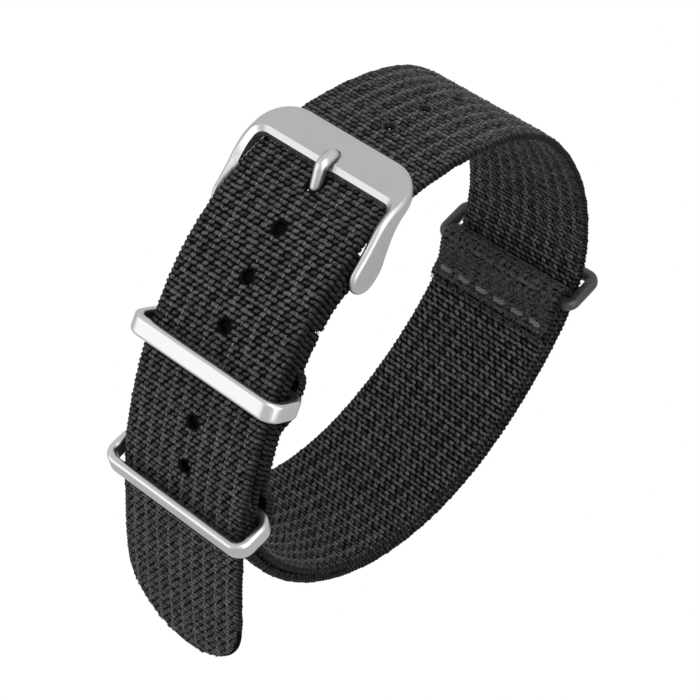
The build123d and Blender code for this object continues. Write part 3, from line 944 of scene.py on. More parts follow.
@dataclass(frozen=True)
class Unevenness:
    """Spreads of the yarns' places, in millimetres, and ranges of the factors on their sizes."""

    station: float = 0.03
    across: float = 0.035
    slant: float = 0.09
    half_across: tuple[float, float] = (0.88, 1.12)
    half_along: tuple[float, float] = (0.85, 1.12)
    height: tuple[float, float] = (0.72, 1.15)
    tone: tuple[float, float] = (0.82, 1.2)
    felt_slant: float = 0.16
    felt_half_along: tuple[float, float] = (0.85, 1.1)
    felt_height: tuple[float, float] = (0.4, 0.8)
    edge_half: tuple[float, float] = (0.82, 0.98)
    edge_lift: tuple[float, float] = (0.5, 1.3)
    edge_tone: tuple[float, float] = (0.75, 1.15)


@dataclass(frozen=True)
class PillowForm:
    """Shape and painted light of a pillow at five places along its yarn and five across it, as shares: its tone is
    painted darker in the grooves and lighter on the crest.
    """

    along: tuple[float, ...] = (-1.0, -0.74, 0.0, 0.74, 1.0)
    across: tuple[float, ...] = (-1.0, -0.62, 0.0, 0.62, 1.0)
    rise_along: tuple[float, ...] = (-1.0, 0.6, 1.0, 0.6, -1.0)
    rise_across: tuple[float, ...] = (-1.2, 0.5, 1.0, 0.5, -1.2)
    # Painted light: how much of the crest's brightness each place gets, falling to little or nothing at the edges.
    light_along: tuple[float, ...] = (0.15, 0.8, 1.0, 0.8, 0.15)
    light_across: tuple[float, ...] = (0.0, 0.5, 1.0, 0.5, 0.0)
    corner: float = 0.72
    waves: tuple[float, float] = (37.0, 91.0)
    yarn_shift: tuple[float, float] = (3.7, 2.3)
    # Painted shade level in the grooves, painted highlight gain on the crest, and the highest level allowed.
    groove_painted_shade: float = 0.3
    crest_painted_highlight: float = 0.85
    brightest: float = 1.25


@dataclass
class Pillows:
    """Pillows of yarn on one face, with an entry for each in every array, in millimetres.

    The slant is how far each leans along the strap for each millimetre across. Flecks lie along the
    strap, the other yarns across it.
    """

    s: np.ndarray
    y: np.ndarray
    half_along: np.ndarray
    half_across: np.ndarray
    height: np.ndarray
    tone: np.ndarray
    slant: np.ndarray
    fleck: bool


@dataclass(frozen=True)
class LooseFibres:
    """Loose filaments: how many, their radius and distance from the strap's edge, and their tones."""

    count: int
    radius: float
    edge: float
    tone: tuple[float, float]
    steps: int = 5
    sides: int = 3


@dataclass
class Webbing:
    """One strap of woven webbing.

    Hidden stretches of a face get no yarns. The slit is given by its two stations and half its width,
    and the felted stretch by its two stations.
    """

    name: str
    course: StrapCourse
    line: SideLine
    weave: Weave
    materials: list[bpy.types.Material]
    hidden: list[tuple[Face, float, float]] = field(default_factory=list)
    holes: list[Hole] = field(default_factory=list)
    slit: tuple[float, float, float] | None = None
    felted: tuple[float, float] | None = None
    fray_length: float = 0.5
    frayed_start: bool = False
    frayed_end: bool = False
    round_tip: bool = False
    seed: int = 1

    FLAT_COUNT = 21
    BEND_COUNT = 6
    STEP = 0.8
    STEP_DEGREES = 6
    TIP_COUNT = 26
    TIP_GAP, TIP_SHORT = 0.2, 0.01
    LEAST_HALF, LEAST_FLAT = 0.3, 0.05
    FORM = PillowForm()
    SPREAD = Unevenness()
    FRAY = LooseFibres(260, 0.035, 0.3, (0.8, 1.5))
    FRAY_ROOT, FRAY_SHORTEST, FRAY_DRIFT = -0.6, 0.1, (0.22, 0.16)
    FUZZ = LooseFibres(2600, 0.032, 0.5, (0.8, 2.4))
    FUZZ_LENGTH, FUZZ_RISE, FUZZ_CURL, FUZZ_DROOP = (0.4, 1.1), (0.24, 0.36), 1.4, 0.5
    EDGE_DEGREES = (-100.0, -66.0, -33.0, 0.0, 33.0, 66.0, 100.0)
    EDGE_ACROSS = (-1.0, -0.5, 0.5, 1.0)
    EDGE_RISE = (-1.0, 0.8, 0.8, -1.0)
    EDGE_START, EDGE_FINISH = 0.45, 0.2
    # The edge tone pair is painted shade: the selvage's level where it faces sideways, and how much lighter it is
    # painted towards the faces.
    EDGE_YARN, EDGE_TONE = (3.1, 0.6), (0.2, 0.55)
    LIP = ((0.24, -0.06), (0.12, 0.12), (-0.03, 0.08))
    LIP_WAVES = ((3, 0.06), (7, 0.035))
    NECK_SHARE, NECK_DEPTH = 0.3, 0.6
    LIP_COUNT, CUT_COUNT = 36, 32
    # Tones of the hole rims; the wall and backing tones are painted shade inside the holes.
    RIM_TONE, FACE_TONE, WALL_TONE, BACK_TONE = 0.9, 0.75, 0.35, 0.6
    BACK_SHARE, BACK_DEPTH = 0.96, 0.8

    def half_width(self, station: np.ndarray) -> np.ndarray:
        """Half the strap's width at each station, smaller at a round tip.

        Args:
            station: lengths along the strap.

        Returns:
            One half width for each.
        """
        half = self.course.sizes.width / 2
        if not self.round_tip:
            return np.full_like(np.asarray(station, float), half)
        past = np.clip(station - (self.line.length - half), 0, half)
        return np.sqrt(np.maximum(half * half - past * past, 0.0))

    @property
    def ground_level(self) -> float:
        """Distance of the body's faces from the middle of the strap."""
        return self.course.sizes.thickness / 2 - self.weave.relief

    def _stations(self) -> np.ndarray:
        """Stations of the body's cross sections.

        Returns:
            Lengths along the strap, closer together in tight bends and at the tip.
        """
        stations, station = [0.0], 0.0
        for length, turn in self.line.runs:
            steps = max(1, math.ceil(length / self.STEP), math.ceil(abs(math.degrees(turn)) / self.STEP_DEGREES))
            stations += list(station + length * np.arange(1, steps + 1) / steps)
            station += length
        stations = np.array(stations)
        if self.round_tip:
            half = self.course.sizes.width / 2
            tip_start = self.line.length - half
            tip = tip_start + half * np.sin(np.linspace(0, np.pi / 2, self.TIP_COUNT))
            before, last = stations[stations < tip_start - self.TIP_GAP], self.line.length - self.TIP_SHORT
            stations = np.concatenate([before, tip[:-1], [last]])
        return stations

    def _section(self, station: float) -> np.ndarray:
        """Closed outline of the body at a station.

        Args:
            station: length along the strap.

        Returns:
            Rows of station, y and distance to the left.
        """
        w, level = self.weave, self.ground_level
        half = max(float(self.half_width(station)) - w.edge_setback, self.LEAST_HALF)
        inner = max(half - w.edge_radius, self.LEAST_FLAT)
        flat = np.linspace(-inner, inner, self.FLAT_COUNT)
        bend = np.linspace(-np.pi / 2, np.pi / 2, self.BEND_COUNT + 2)[1:-1]
        bulge = inner + (half - inner) * np.cos(bend)
        y = np.concatenate([flat, bulge, -flat, -bulge])
        side = np.concatenate([np.full(len(flat), -level), level * np.sin(bend)])
        return np.stack([np.full(len(y), station), y, np.concatenate([side, -side])], -1)

    def ground(self, parts: MeshParts) -> None:
        """Adds the closed body under the yarns, near-black as painted shade in the gaps between them.

        Args:
            parts: the mesh that takes it.
        """
        grid = np.array([self._section(station) for station in self._stations()])
        rows, count = grid.shape[:2]
        flat_grid = grid.reshape(-1, 3)
        points = self.course.points(self.line, *flat_grid.T)
        cap = cap_faces(count, self.BEND_COUNT // 2)
        quads = np.concatenate([grid_faces(rows, count, True), cap[:, ::-1], cap + (rows - 1) * count])
        parts.add(points, quads, Slot.GROUND, 1.0, flat_grid[:, :2])

    def _pillows(self, parts: MeshParts, face: Face, pillows: Pillows) -> None:
        """Adds small pillows of yarn on one face, with painted shade in their grooves and a painted highlight on their
        crests.

        Args:
            parts: the mesh that takes them.
            face: the side of the strap.
            pillows: their places, sizes and tones.
        """
        form, fleck = self.FORM, pillows.fleck
        s, y, height, tone, slant, half_s, half_y = (
            v[:, None, None] for v in (pillows.s, pillows.y, pillows.height, pillows.tone, pillows.slant,
                                       pillows.half_along, pillows.half_across)
        )
        u, v = np.array(form.along)[:, None], np.array(form.across)[None]
        rise = np.minimum(np.array(form.rise_along)[:, None], np.array(form.rise_across)[None])
        # painted light over the pillow: full on the crest, none at its edges
        painted_lit = np.array(form.light_along)[:, None] * np.array(form.light_across)[None]
        corner = np.where(np.abs(u) * np.abs(v) > 0.99, form.corner, 1.0)
        long_half, short_half = (half_s, half_y) if fleck else (half_y, half_s)
        along, across = long_half * (u * corner)[None], short_half * (v * corner)[None]
        ds, dy = (along, across) if fleck else (across, along)
        hook = 0.0 if fleck else self.weave.hook * u ** 3
        # the lean tilts each pillow and also paints its raised end lighter, a painted highlight
        lean = self.weave.uneven * np.sin(form.waves[0] * s + form.waves[1] * y) * u
        left = face.value * (self.ground_level + height * (rise[None] + lean))
        # painted shade and highlight: the random tone times a level that is darkest in the grooves and lightest on the
        # crest and the raised end
        tone_and_painted_shade = tone * (form.groove_painted_shade + form.crest_painted_highlight * np.clip(painted_lit + lean, 0, form.brightest))
        points = self.course.points(self.line, (s + ds + slant * dy + hook).ravel(), (y + dy).ravel(), left.ravel())
        size = rise.size
        faces = repeated(grid_faces(*rise.shape), size, len(s), (face is Face.OUTER) != fleck)
        shift_s, shift_y = form.yarn_shift
        yarn = np.stack([(across + s * shift_s).ravel(), (along + y * shift_y).ravel()], -1)
        parts.add(points, faces, Slot.FLECK if fleck else Slot.YARN, tone_and_painted_shade.ravel(), yarn)

    def _shown(self, face: Face, s: np.ndarray) -> np.ndarray:
        """Which stations of a face aren't covered by another layer or past the ends.

        Args:
            face: the side of the strap.
            s: the stations.

        Returns:
            True or false for each.
        """
        shown = (s > self.weave.start_clearance) & (s < self.line.length - self.weave.end_clearance)
        for side, start, finish in self.hidden:
            if side == face:
                shown &= ~((s > start) & (s < finish))
        return shown

    def _clear(self, face: Face, s: np.ndarray, y: np.ndarray, half: np.ndarray) -> tuple[np.ndarray, ...]:
        """Cuts yarns back from the edge, the holes and the slit.

        Args:
            face: the side of the strap that they are on.
            s: their stations.
            y: their middles across the strap.
            half: their half lengths across the strap.

        Returns:
            New middles, new half lengths, and which are still long enough.
        """
        limit = self.half_width(s) - self.weave.edge_clearance
        low, high = np.maximum(y - half, -limit), np.minimum(y + half, limit)
        gaps = []
        for hole in self.holes:
            radius = hole.radius + self.weave.hole_clearance
            middle = hole.station + hole.lean * face.value * self.ground_level
            past = np.maximum(np.abs(s - middle) - hole.stretch, 0)
            gaps.append(np.sqrt(np.maximum(radius * radius - past * past, 0)))
        if self.slit:
            start, finish, half_slit = self.slit
            gaps.append(np.where((s > start) & (s < finish), half_slit, 0.0))
        for gap in gaps:
            hit = (gap > 0) & (high > -gap) & (low < gap)
            low = np.where(hit & (y >= 0), np.maximum(low, gap), low)
            high = np.where(hit & (y < 0), np.minimum(high, -gap), high)
        return (low + high) / 2, (high - low) / 2, high - low > self.weave.shortest

    def _laid(self, face: Face, kind: Float, rng: np.random.Generator) -> Pillows:
        """Lays one kind of float on a face.

        Args:
            face: the side of the strap.
            kind: the float.
            rng: the source of its unevenness.

        Returns:
            A pillow for each float that shows.
        """
        w, spread = self.weave, self.SPREAD
        rows = np.arange(int(kind.odd_rows), int(self.line.length / w.row), 2)
        cells = int(self.course.sizes.width / w.cell) + 1
        row, cell, share = np.meshgrid(rows, np.arange(-cells // 2, cells // 2 + 1), kind.shares, indexing="ij")
        s = (row.ravel() + 0.5) * w.row + rng.normal(0, spread.station, row.size)
        y = (cell.ravel() + share.ravel()) * w.cell + rng.normal(0, spread.across, row.size)
        shown = self._shown(face, s)
        s, y = s[shown], y[shown]
        half = kind.half_across * rng.uniform(*spread.half_across, len(s))
        if kind.fleck:
            keep = self._clear(face, s, y, np.full(len(s), w.shortest))[2]
        else:
            y, half, keep = self._clear(face, s, y, half)
        s, y, half = s[keep], y[keep], half[keep]
        count = len(s)
        along = kind.half_along * rng.uniform(*spread.half_along, count)
        height = kind.height * rng.uniform(*spread.height, count)
        tone = kind.tone * rng.uniform(*spread.tone, count)
        slant = rng.normal(w.slant, spread.slant, count)
        if self.felted:
            felt = (s > self.felted[0]) & (s < self.felted[1])
            slant = slant + np.where(felt, rng.normal(0, spread.felt_slant, count), 0)
            along = along * np.where(felt, rng.uniform(*spread.felt_half_along, count), 1)
            height = height * np.where(felt, rng.uniform(*spread.felt_height, count), 1)
        return Pillows(s, y, along, half, height, tone, slant, kind.fleck)

    def yarns(self, parts: MeshParts) -> None:
        """Adds the yarns of both faces, the selvages and the loose fibres.

        Args:
            parts: the mesh that takes them.
        """
        rng = np.random.default_rng(self.seed)
        for face in Face:
            for kind in self.weave.floats(face):
                self._pillows(parts, face, self._laid(face, kind, rng))
        self._selvages(parts, rng)
        for station, way, frayed in ((0.0, -1, self.frayed_start), (self.line.length, 1, self.frayed_end)):
            if frayed:
                self._fray(parts, station, way, rng)
        if self.felted:
            self._fuzz(parts, rng)

    def _selvages(self, parts: MeshParts, rng: np.random.Generator) -> None:
        """Adds the yarn that turns round each edge, with painted shade where it faces sideways.

        Args:
            parts: the mesh that takes it.
            rng: the source of its unevenness.
        """
        w, sizes, spread = self.weave, self.course.sizes, self.SPREAD
        straight = self.line.length - (sizes.width / 2 if self.round_tip else 0.0)
        places = np.arange(self.EDGE_START, straight - self.EDGE_FINISH, w.row)
        angle = np.radians(np.array(self.EDGE_DEGREES))[None, :, None]
        v = np.array(self.EDGE_ACROSS)[None, None]
        inner = sizes.width / 2 - w.edge_setback - w.edge_radius
        for side in (-1, 1):
            s = (places + rng.normal(0, spread.station, len(places)))[:, None, None]
            half = w.row / 2 * rng.uniform(*spread.edge_half, s.shape)
            lift = w.edge_lift * rng.uniform(*spread.edge_lift, s.shape) * np.array(self.EDGE_RISE)[None, None]
            ss = s + half * v + w.edge_hook * np.sin(angle)
            y = side * (inner + (w.edge_radius + lift) * np.maximum(np.cos(angle), -0.1)) + 0 * v
            left = (self.ground_level + lift) * np.clip(np.sin(angle), -1, 1)
            points = self.course.points(self.line, ss.ravel(), y.ravel(), left.ravel())
            faces = repeated(grid_faces(angle.size, v.size), angle.size * v.size, len(s), side > 0)
            (yarn_s, yarn_angle), (dark, painted_light_gain) = self.EDGE_YARN, self.EDGE_TONE
            yarn = np.stack([(ss * yarn_s).ravel(), np.broadcast_to(angle * yarn_angle, ss.shape).ravel()], -1)
            # painted shade: darkest where the selvage faces sideways, lighter towards the faces, times a random tone
            tone_and_painted_shade = (dark + painted_light_gain * np.sin(angle) ** 2) * rng.uniform(*spread.edge_tone, s.shape) + 0 * v
            parts.add(points, faces, Slot.YARN, tone_and_painted_shade.ravel(), yarn)

    def _fibres(self, parts: MeshParts, kind: LooseFibres, places: Sequence[np.ndarray], tone: np.ndarray,
                turned: bool) -> None:
        """Adds loose filaments as thin tubes.

        Args:
            parts: the mesh that takes them.
            kind: their number and thickness.
            places: station, y and distance to the left of each vertex, by filament, step and side.
            tone: brightness of each filament.
            turned: whether the rings of vertices run round the other way.
        """
        size = kind.steps * kind.sides
        s, y, left = (np.broadcast_to(v, (kind.count, kind.steps, kind.sides)).ravel() for v in places)
        faces = repeated(grid_faces(kind.steps, kind.sides, True), size, kind.count, turned)
        points = self.course.points(self.line, s, y, left)
        parts.add(points, faces, Slot.YARN, np.repeat(tone, size), np.stack([s, y], -1))

    def _fray(self, parts: MeshParts, station: float, way: int, rng: np.random.Generator) -> None:
        """Adds loose filaments at a cut end.

        Args:
            parts: the mesh that takes them.
            station: where the end is.
            way: 1 where they point along the line, -1 where they point back.
            rng: the source of their unevenness.
        """
        kind, level = self.FRAY, self.ground_level
        half = self.course.sizes.width / 2 - kind.edge
        drift_y, drift_left = self.FRAY_DRIFT
        t = np.linspace(self.FRAY_ROOT, 1, kind.steps)[None, :]
        s = station + way * rng.uniform(self.FRAY_SHORTEST, self.fray_length, kind.count)[:, None] * t
        y = rng.uniform(-half, half, kind.count)[:, None] + rng.normal(0, drift_y, kind.count)[:, None] * t * t
        left = rng.uniform(-level, level, kind.count)[:, None] + rng.normal(0, drift_left, kind.count)[:, None] * t * t
        around = ring_angles(kind.sides)[None, None]
        round_y, round_left = kind.radius * np.cos(around), kind.radius * np.sin(around)
        places = (s[..., None], y[..., None] + round_y, left[..., None] + round_left)
        self._fibres(parts, kind, places, rng.uniform(*kind.tone, kind.count), way < 0)

    def _fuzz(self, parts: MeshParts, rng: np.random.Generator) -> None:
        """Adds broken filaments that lie on the outer face where it is felted.

        Args:
            parts: the mesh that takes them.
            rng: the source of their unevenness.
        """
        kind, half = self.FUZZ, self.course.sizes.width / 2 - self.FUZZ.edge
        t = np.linspace(-0.5, 0.5, kind.steps)[None, :]
        heading = rng.uniform(0, np.pi, kind.count)[:, None] + rng.normal(0, self.FUZZ_CURL, kind.count)[:, None] * t
        length = rng.uniform(*self.FUZZ_LENGTH, kind.count)[:, None]
        s = rng.uniform(self.felted[0], self.felted[1] - 0.3, kind.count)[:, None] + length * t * np.sin(heading)
        y = rng.uniform(-half, half, kind.count)[:, None] + length * t * np.cos(heading)
        rise = self.ground_level + rng.uniform(*self.FUZZ_RISE, kind.count)[:, None] - self.FUZZ_DROOP * t * t
        around = ring_angles(kind.sides)[None, None]
        aside = heading + np.pi / 2
        places = (
            s[..., None] - kind.radius * np.sin(aside)[..., None] * np.cos(around),
            y[..., None] - kind.radius * np.cos(aside)[..., None] * np.cos(around),
            -(rise[..., None] + kind.radius * np.sin(around)),
        )
        self._fibres(parts, kind, places, rng.uniform(*kind.tone, kind.count), True)

    def _lip(self, hole: Hole) -> list[tuple[float, float]]:
        """Rings of a hole's lips and wall, narrowest in the middle.

        Args:
            hole: the hole.

        Returns:
            Distance past the hole's radius and to the strap's left, from the outer face to the inner.
        """
        level = self.ground_level
        rings = [(out, -(level + up)) for out, up in self.LIP]
        rings.append((-self.NECK_SHARE * hole.waist, -self.NECK_DEPTH * level))
        return [*rings, (-hole.waist, 0.0), *((out, -left) for out, left in reversed(rings))]

    def rims(self, parts: MeshParts) -> None:
        """Adds each hole's melted lip and wall, with painted shade inside the hole.

        Args:
            parts: the mesh that takes them.
        """
        rng = np.random.default_rng(self.seed + 50)
        turn, level = ring_angles(self.LIP_COUNT), self.ground_level
        for hole in self.holes:
            wobble = sum((depth * np.sin(turn * waves + rng.uniform(0, 6)) for waves, depth in self.LIP_WAVES), 1)
            rings = []
            for out, left in self._lip(hole):
                there, y = hole.outline((hole.radius + out) * wobble, turn, left)
                rings.append(np.stack([there, y, left * (1 + 0.06 * np.sin(turn * 5))], -1))
            flat_grid = np.concatenate(rings)
            # painted shade: open holes take the near-black rim, nearly closed ones a darker tone on the wall than on
            # the face
            slot, tone = Slot.RIM, self.RIM_TONE
            if hole.nearly_closed:
                on_face = np.abs(flat_grid[:, 2]) > 0.9 * level
                slot, tone = Slot.YARN, np.where(on_face, self.FACE_TONE, self.WALL_TONE)
            faces = grid_faces(len(rings), len(turn), True)[:, ::-1]
            parts.add(self.course.points(self.line, *flat_grid.T), faces, slot, tone, flat_grid[:, :2])
            if hole.backed:
                self._back(parts, hole, turn)

    def _back(self, parts: MeshParts, hole: Hole, turn: np.ndarray) -> None:
        """Adds a near-black disk at the far end of a hole that lies on another layer, painted shade for the layer
        beneath.

        Args:
            parts: the mesh that takes them.
            hole: the hole.
            turn: angles round it in radians.
        """
        # painted shade: a dark disk where the hole looks down onto the shaded layer beneath
        left = self.BACK_DEPTH * self.ground_level
        rings = [hole.outline(radius, turn, left) for radius in (hole.radius * self.BACK_SHARE, 0.02)]
        there, y = (np.concatenate(v) for v in zip(*rings))
        points = self.course.points(self.line, there, y, np.full(len(there), left))
        parts.add(points, grid_faces(2, len(turn), True)[:, ::-1], Slot.RIM, self.BACK_TONE, np.stack([there, y], -1))

    def build(self) -> bpy.types.Object:
        """Weaves the strap.

        Returns:
            The strap as one object.
        """
        body = MeshParts()
        self.ground(body)
        ground = body.build(self.name + "_ground", self.materials)
        self._cut(ground)
        yarn = MeshParts()
        self.yarns(yarn)
        self.rims(yarn)
        strap = yarn.build(self.name + "_woven", self.materials)
        LOG.info("%s: %d yarn faces", self.name, len(strap.data.polygons))
        with bpy.context.temp_override(active_object=strap, selected_editable_objects=[strap, ground]):
            bpy.ops.object.join()
        return strap

    def _cut(self, ground: bpy.types.Object) -> None:
        """Cuts the holes and the slit out of the body.

        Args:
            ground: the body.
        """
        depth = self.course.sizes.thickness
        rings = MeshParts()
        turn = ring_angles(self.CUT_COUNT)
        for hole in self.holes:
            ends = [hole.outline(hole.radius, turn, level) for level in (-depth, depth)]
            self._cutter(rings, np.array([there for there, _ in ends]), ends[0][1], depth)
        if self.slit:
            start, finish, half = self.slit
            there = np.linspace(start, finish, 30)
            y = np.repeat([-half, half], len(there))
            self._cutter(rings, np.tile(np.concatenate([there, there[::-1]]), (2, 1)), y, depth)
        if not rings.points:
            return
        cutter = rings.build(self.name + "_cutter", [])
        modifier = ground.modifiers.new("holes", "BOOLEAN")
        modifier.object = cutter
        modifier.solver = "EXACT"
        modifier.use_self = True
        baked(ground)
        bpy.data.objects.remove(cutter)

    def _cutter(self, rings: MeshParts, s: np.ndarray, y: np.ndarray, depth: float) -> None:
        """Adds a closed prism through the strap.

        Args:
            rings: the mesh that takes it.
            s: stations of its outline, outside and inside.
            y: distances of the outline across the strap.
            depth: how far the prism reaches to both sides.
        """
        count = len(y)
        levels = np.repeat([-depth, depth], count)
        points = self.course.points(self.line, s.ravel(), np.tile(y, 2), levels)
        cap = cap_faces(count)
        quads = np.concatenate([grid_faces(2, count, True), cap[:, ::-1], cap + count])
        rings.add(points, quads, Slot.GROUND, np.ones(len(points)), np.zeros((len(points), 2)))


def baked(obj: bpy.types.Object) -> None:
    """Applies an object's modifiers.

    Args:
        obj: the object, whose mesh is replaced.
    """
    graph = bpy.context.evaluated_depsgraph_get()
    mesh = bpy.data.meshes.new_from_object(obj.evaluated_get(graph), preserve_all_data_layers=True, depsgraph=graph)
    old = obj.data
    obj.modifiers.clear()
    obj.data = mesh
    bpy.data.meshes.remove(old)


class SeamPlaces:
    """Where the seams run, in millimetres from the piece that each one holds."""

    FROM_HINGE = 8.2
    FROM_KEEPER = 6.2
    FROM_LOWER_KEEPER = 6.4
    FROM_RING = 4.6


@dataclass
class Seam:
    """One row of stitches, each a closed loop of three-ply thread, in millimetres."""

    name: str
    course: StrapCourse
    line: SideLine
    station: float
    diameter: float
    material: bpy.types.Material
    count: int = 6
    pitch: float = 3.4
    length: float = 2.0
    corner_share: float = 0.55
    sink_share: float = 0.35
    ply_share: float = 0.27
    lay_share: float = 3.2
    plies: int = 3
    seed: int = 3

    CORNER_COUNT = 7
    STEPS = 64
    SIDES = 8
    LEAN, TONE = 0.06, (0.9, 1.1)

    def build(self) -> bpy.types.Object:
        """Sews the seam.

        Returns:
            The seam as one object.
        """
        rng = np.random.default_rng(self.seed)
        parts = MeshParts()
        for k in range(self.count):
            self._stitch(parts, (k - (self.count - 1) / 2) * self.pitch, rng)
        LOG.info("%s: %d stitches", self.name, self.count)
        return parts.build(self.name + "_thread", [self.material])

    def _outline(self) -> np.ndarray:
        """A stitch's loop through both layers, with round corners.

        Returns:
            Rows of y and distance to the left, and the first again at the end.
        """
        sizes = self.course.sizes
        sink, corner = self.diameter * self.sink_share, self.diameter * self.corner_share
        low = -sizes.thickness / 2 - sink + corner
        high = sizes.thickness / 2 + sizes.thickness + sizes.layer_gap + sink - corner
        half = self.length / 2 - corner
        outline = []
        for middle_y, middle_left, start in ((half, high, 0), (-half, high, 90), (-half, low, 180), (half, low, 270)):
            for a in np.radians(np.linspace(start, start + 90, self.CORNER_COUNT)):
                outline.append((middle_y + corner * math.cos(a), middle_left + corner * math.sin(a)))
        return np.array([*outline, outline[0]])

    def _path(self) -> tuple[np.ndarray, ...]:
        """The loop in equal steps.

        Returns:
            Length along it, y, distance to the left, the two parts of the outward direction, and the
            angle of the plies' twist.
        """
        outline = self._outline()
        total = np.concatenate([[0], np.cumsum(np.hypot(*np.diff(outline, axis=0).T))])
        t = np.linspace(0, total[-1], self.STEPS + 1)[:-1]
        y, left = (np.interp(t, total, column) for column in outline.T)
        dy, dn = (np.roll(v, -1) - np.roll(v, 1) for v in (y, left))
        size = np.hypot(dy, dn)
        turns = round(total[-1] / (self.diameter * self.lay_share))
        return t, y, left, dn / size, -dy / size, 2 * np.pi * turns * t / total[-1]

    def _stitch(self, parts: MeshParts, middle: float, rng: np.random.Generator) -> None:
        """Adds one stitch.

        Args:
            parts: the mesh that takes it.
            middle: y of its middle.
            rng: the source of its unevenness.
        """
        t, y, left, out_y, out_left, twist = self._path()
        ply = self.diameter * self.ply_share
        reach = self.diameter / 2 - ply
        around = ring_angles(self.SIDES)
        quads = grid_faces(self.STEPS + 1, self.SIDES, True)[:, ::-1] % (self.STEPS * self.SIDES)
        lean = rng.normal(0, self.LEAN)
        for strand in range(self.plies):
            phase = twist + strand * 2 * np.pi / self.plies
            ring_out = (reach * np.cos(phase))[:, None] + ply * np.cos(around)[None]
            ring_s = (reach * np.sin(phase))[:, None] + ply * np.sin(around)[None]
            yy = middle + y[:, None] + out_y[:, None] * ring_out
            nn = left[:, None] + out_left[:, None] * ring_out
            ss = self.station + ring_s + lean * y[:, None]
            points = self.course.points(self.line, ss.ravel(), yy.ravel(), nn.ravel())
            yarn = np.stack([np.tile(around, self.STEPS), np.repeat(t, self.SIDES)], -1)
            parts.add(points, quads, 0, np.full(len(points), rng.uniform(*self.TONE)), yarn)


@dataclass
class Hardware:
    """Metal pieces that keep their CAD solids and get soft edges and a finish."""

    nodes: tuple[str, ...]
    finish: SteelFinish | CoatedFinish
    edge: float = 0.0

    WELD = 0.002
    SHARP_DEGREES = 32
    EDGE_STEPS = 3

    def dress(self) -> None:
        """Gives each node its finish and softens its edges."""
        material = self.finish.build()
        for name in self.nodes:
            obj = frame["nodes"][name]
            for slot in obj.material_slots:
                slot.material = material
            weld = obj.modifiers.new("weld", "WELD")
            weld.merge_threshold = self.WELD * MM
            if self.edge:
                bevel = obj.modifiers.new("soft_edges", "BEVEL")
                bevel.width = self.edge * MM
                bevel.segments = self.EDGE_STEPS
                bevel.limit_method = "ANGLE"
                bevel.angle_limit = math.radians(self.SHARP_DEGREES)
                bevel.use_clamp_overlap = True
                bevel.harden_normals = False
            smooth = obj.modifiers.new("normals", "WEIGHTED_NORMAL")
            smooth.keep_sharp = True
            LOG.info("%s: %s", name, self.finish.name)


@dataclass(frozen=True)
class CameraFit:
    """The photographing camera, in millimetres from the crown of the loop."""

    place: tuple[float, float, float] = (-157.40, -143.9, 179.67)
    right: tuple[float, float, float] = (0.6767, -0.7362, 0.0)
    up: tuple[float, float, float] = (0.5227, 0.4806, 0.704)
    lens: float = 113.14
    sensor: float = 36.0

    def build(self, crown: tuple[float, float]) -> None:
        """Sets up the camera.

        Args:
            crown: x and z of the loop's crown in the CAD's frame.
        """
        data = bpy.data.cameras.new("photo_camera")
        data.lens, data.sensor_width = self.lens, self.sensor
        data.clip_start, data.clip_end = 0.01, 10.0
        camera = bpy.data.objects.new("photo_camera", data)
        bpy.context.scene.collection.objects.link(camera)
        right = Vector(self.right).normalized()
        up = (Vector(self.up) - right * right.dot(Vector(self.up))).normalized()
        turn = Matrix((right, up, right.cross(up))).transposed().to_4x4()
        place = Vector((self.place[0] + crown[0], self.place[1], self.place[2] + crown[1])) * MM
        camera.matrix_world = Matrix.Translation(place) @ turn
        bpy.context.scene.camera = camera


@dataclass(frozen=True)
class Softbox:
    """A square area lamp that looks at the strap."""

    name: str
    place: tuple[float, float, float]
    size: float
    power: float

    def build(self, target: Vector) -> None:
        """Hangs the lamp.

        Args:
            target: the point that it looks at, in metres.
        """
        data = bpy.data.lights.new(self.name, "AREA")
        data.energy, data.size = self.power, self.size
        lamp = bpy.data.objects.new(self.name, data)
        bpy.context.scene.collection.objects.link(lamp)
        lamp.location = Vector(self.place)
        lamp.rotation_euler = (Vector(self.place) - target).to_track_quat("Z", "Y").to_euler()


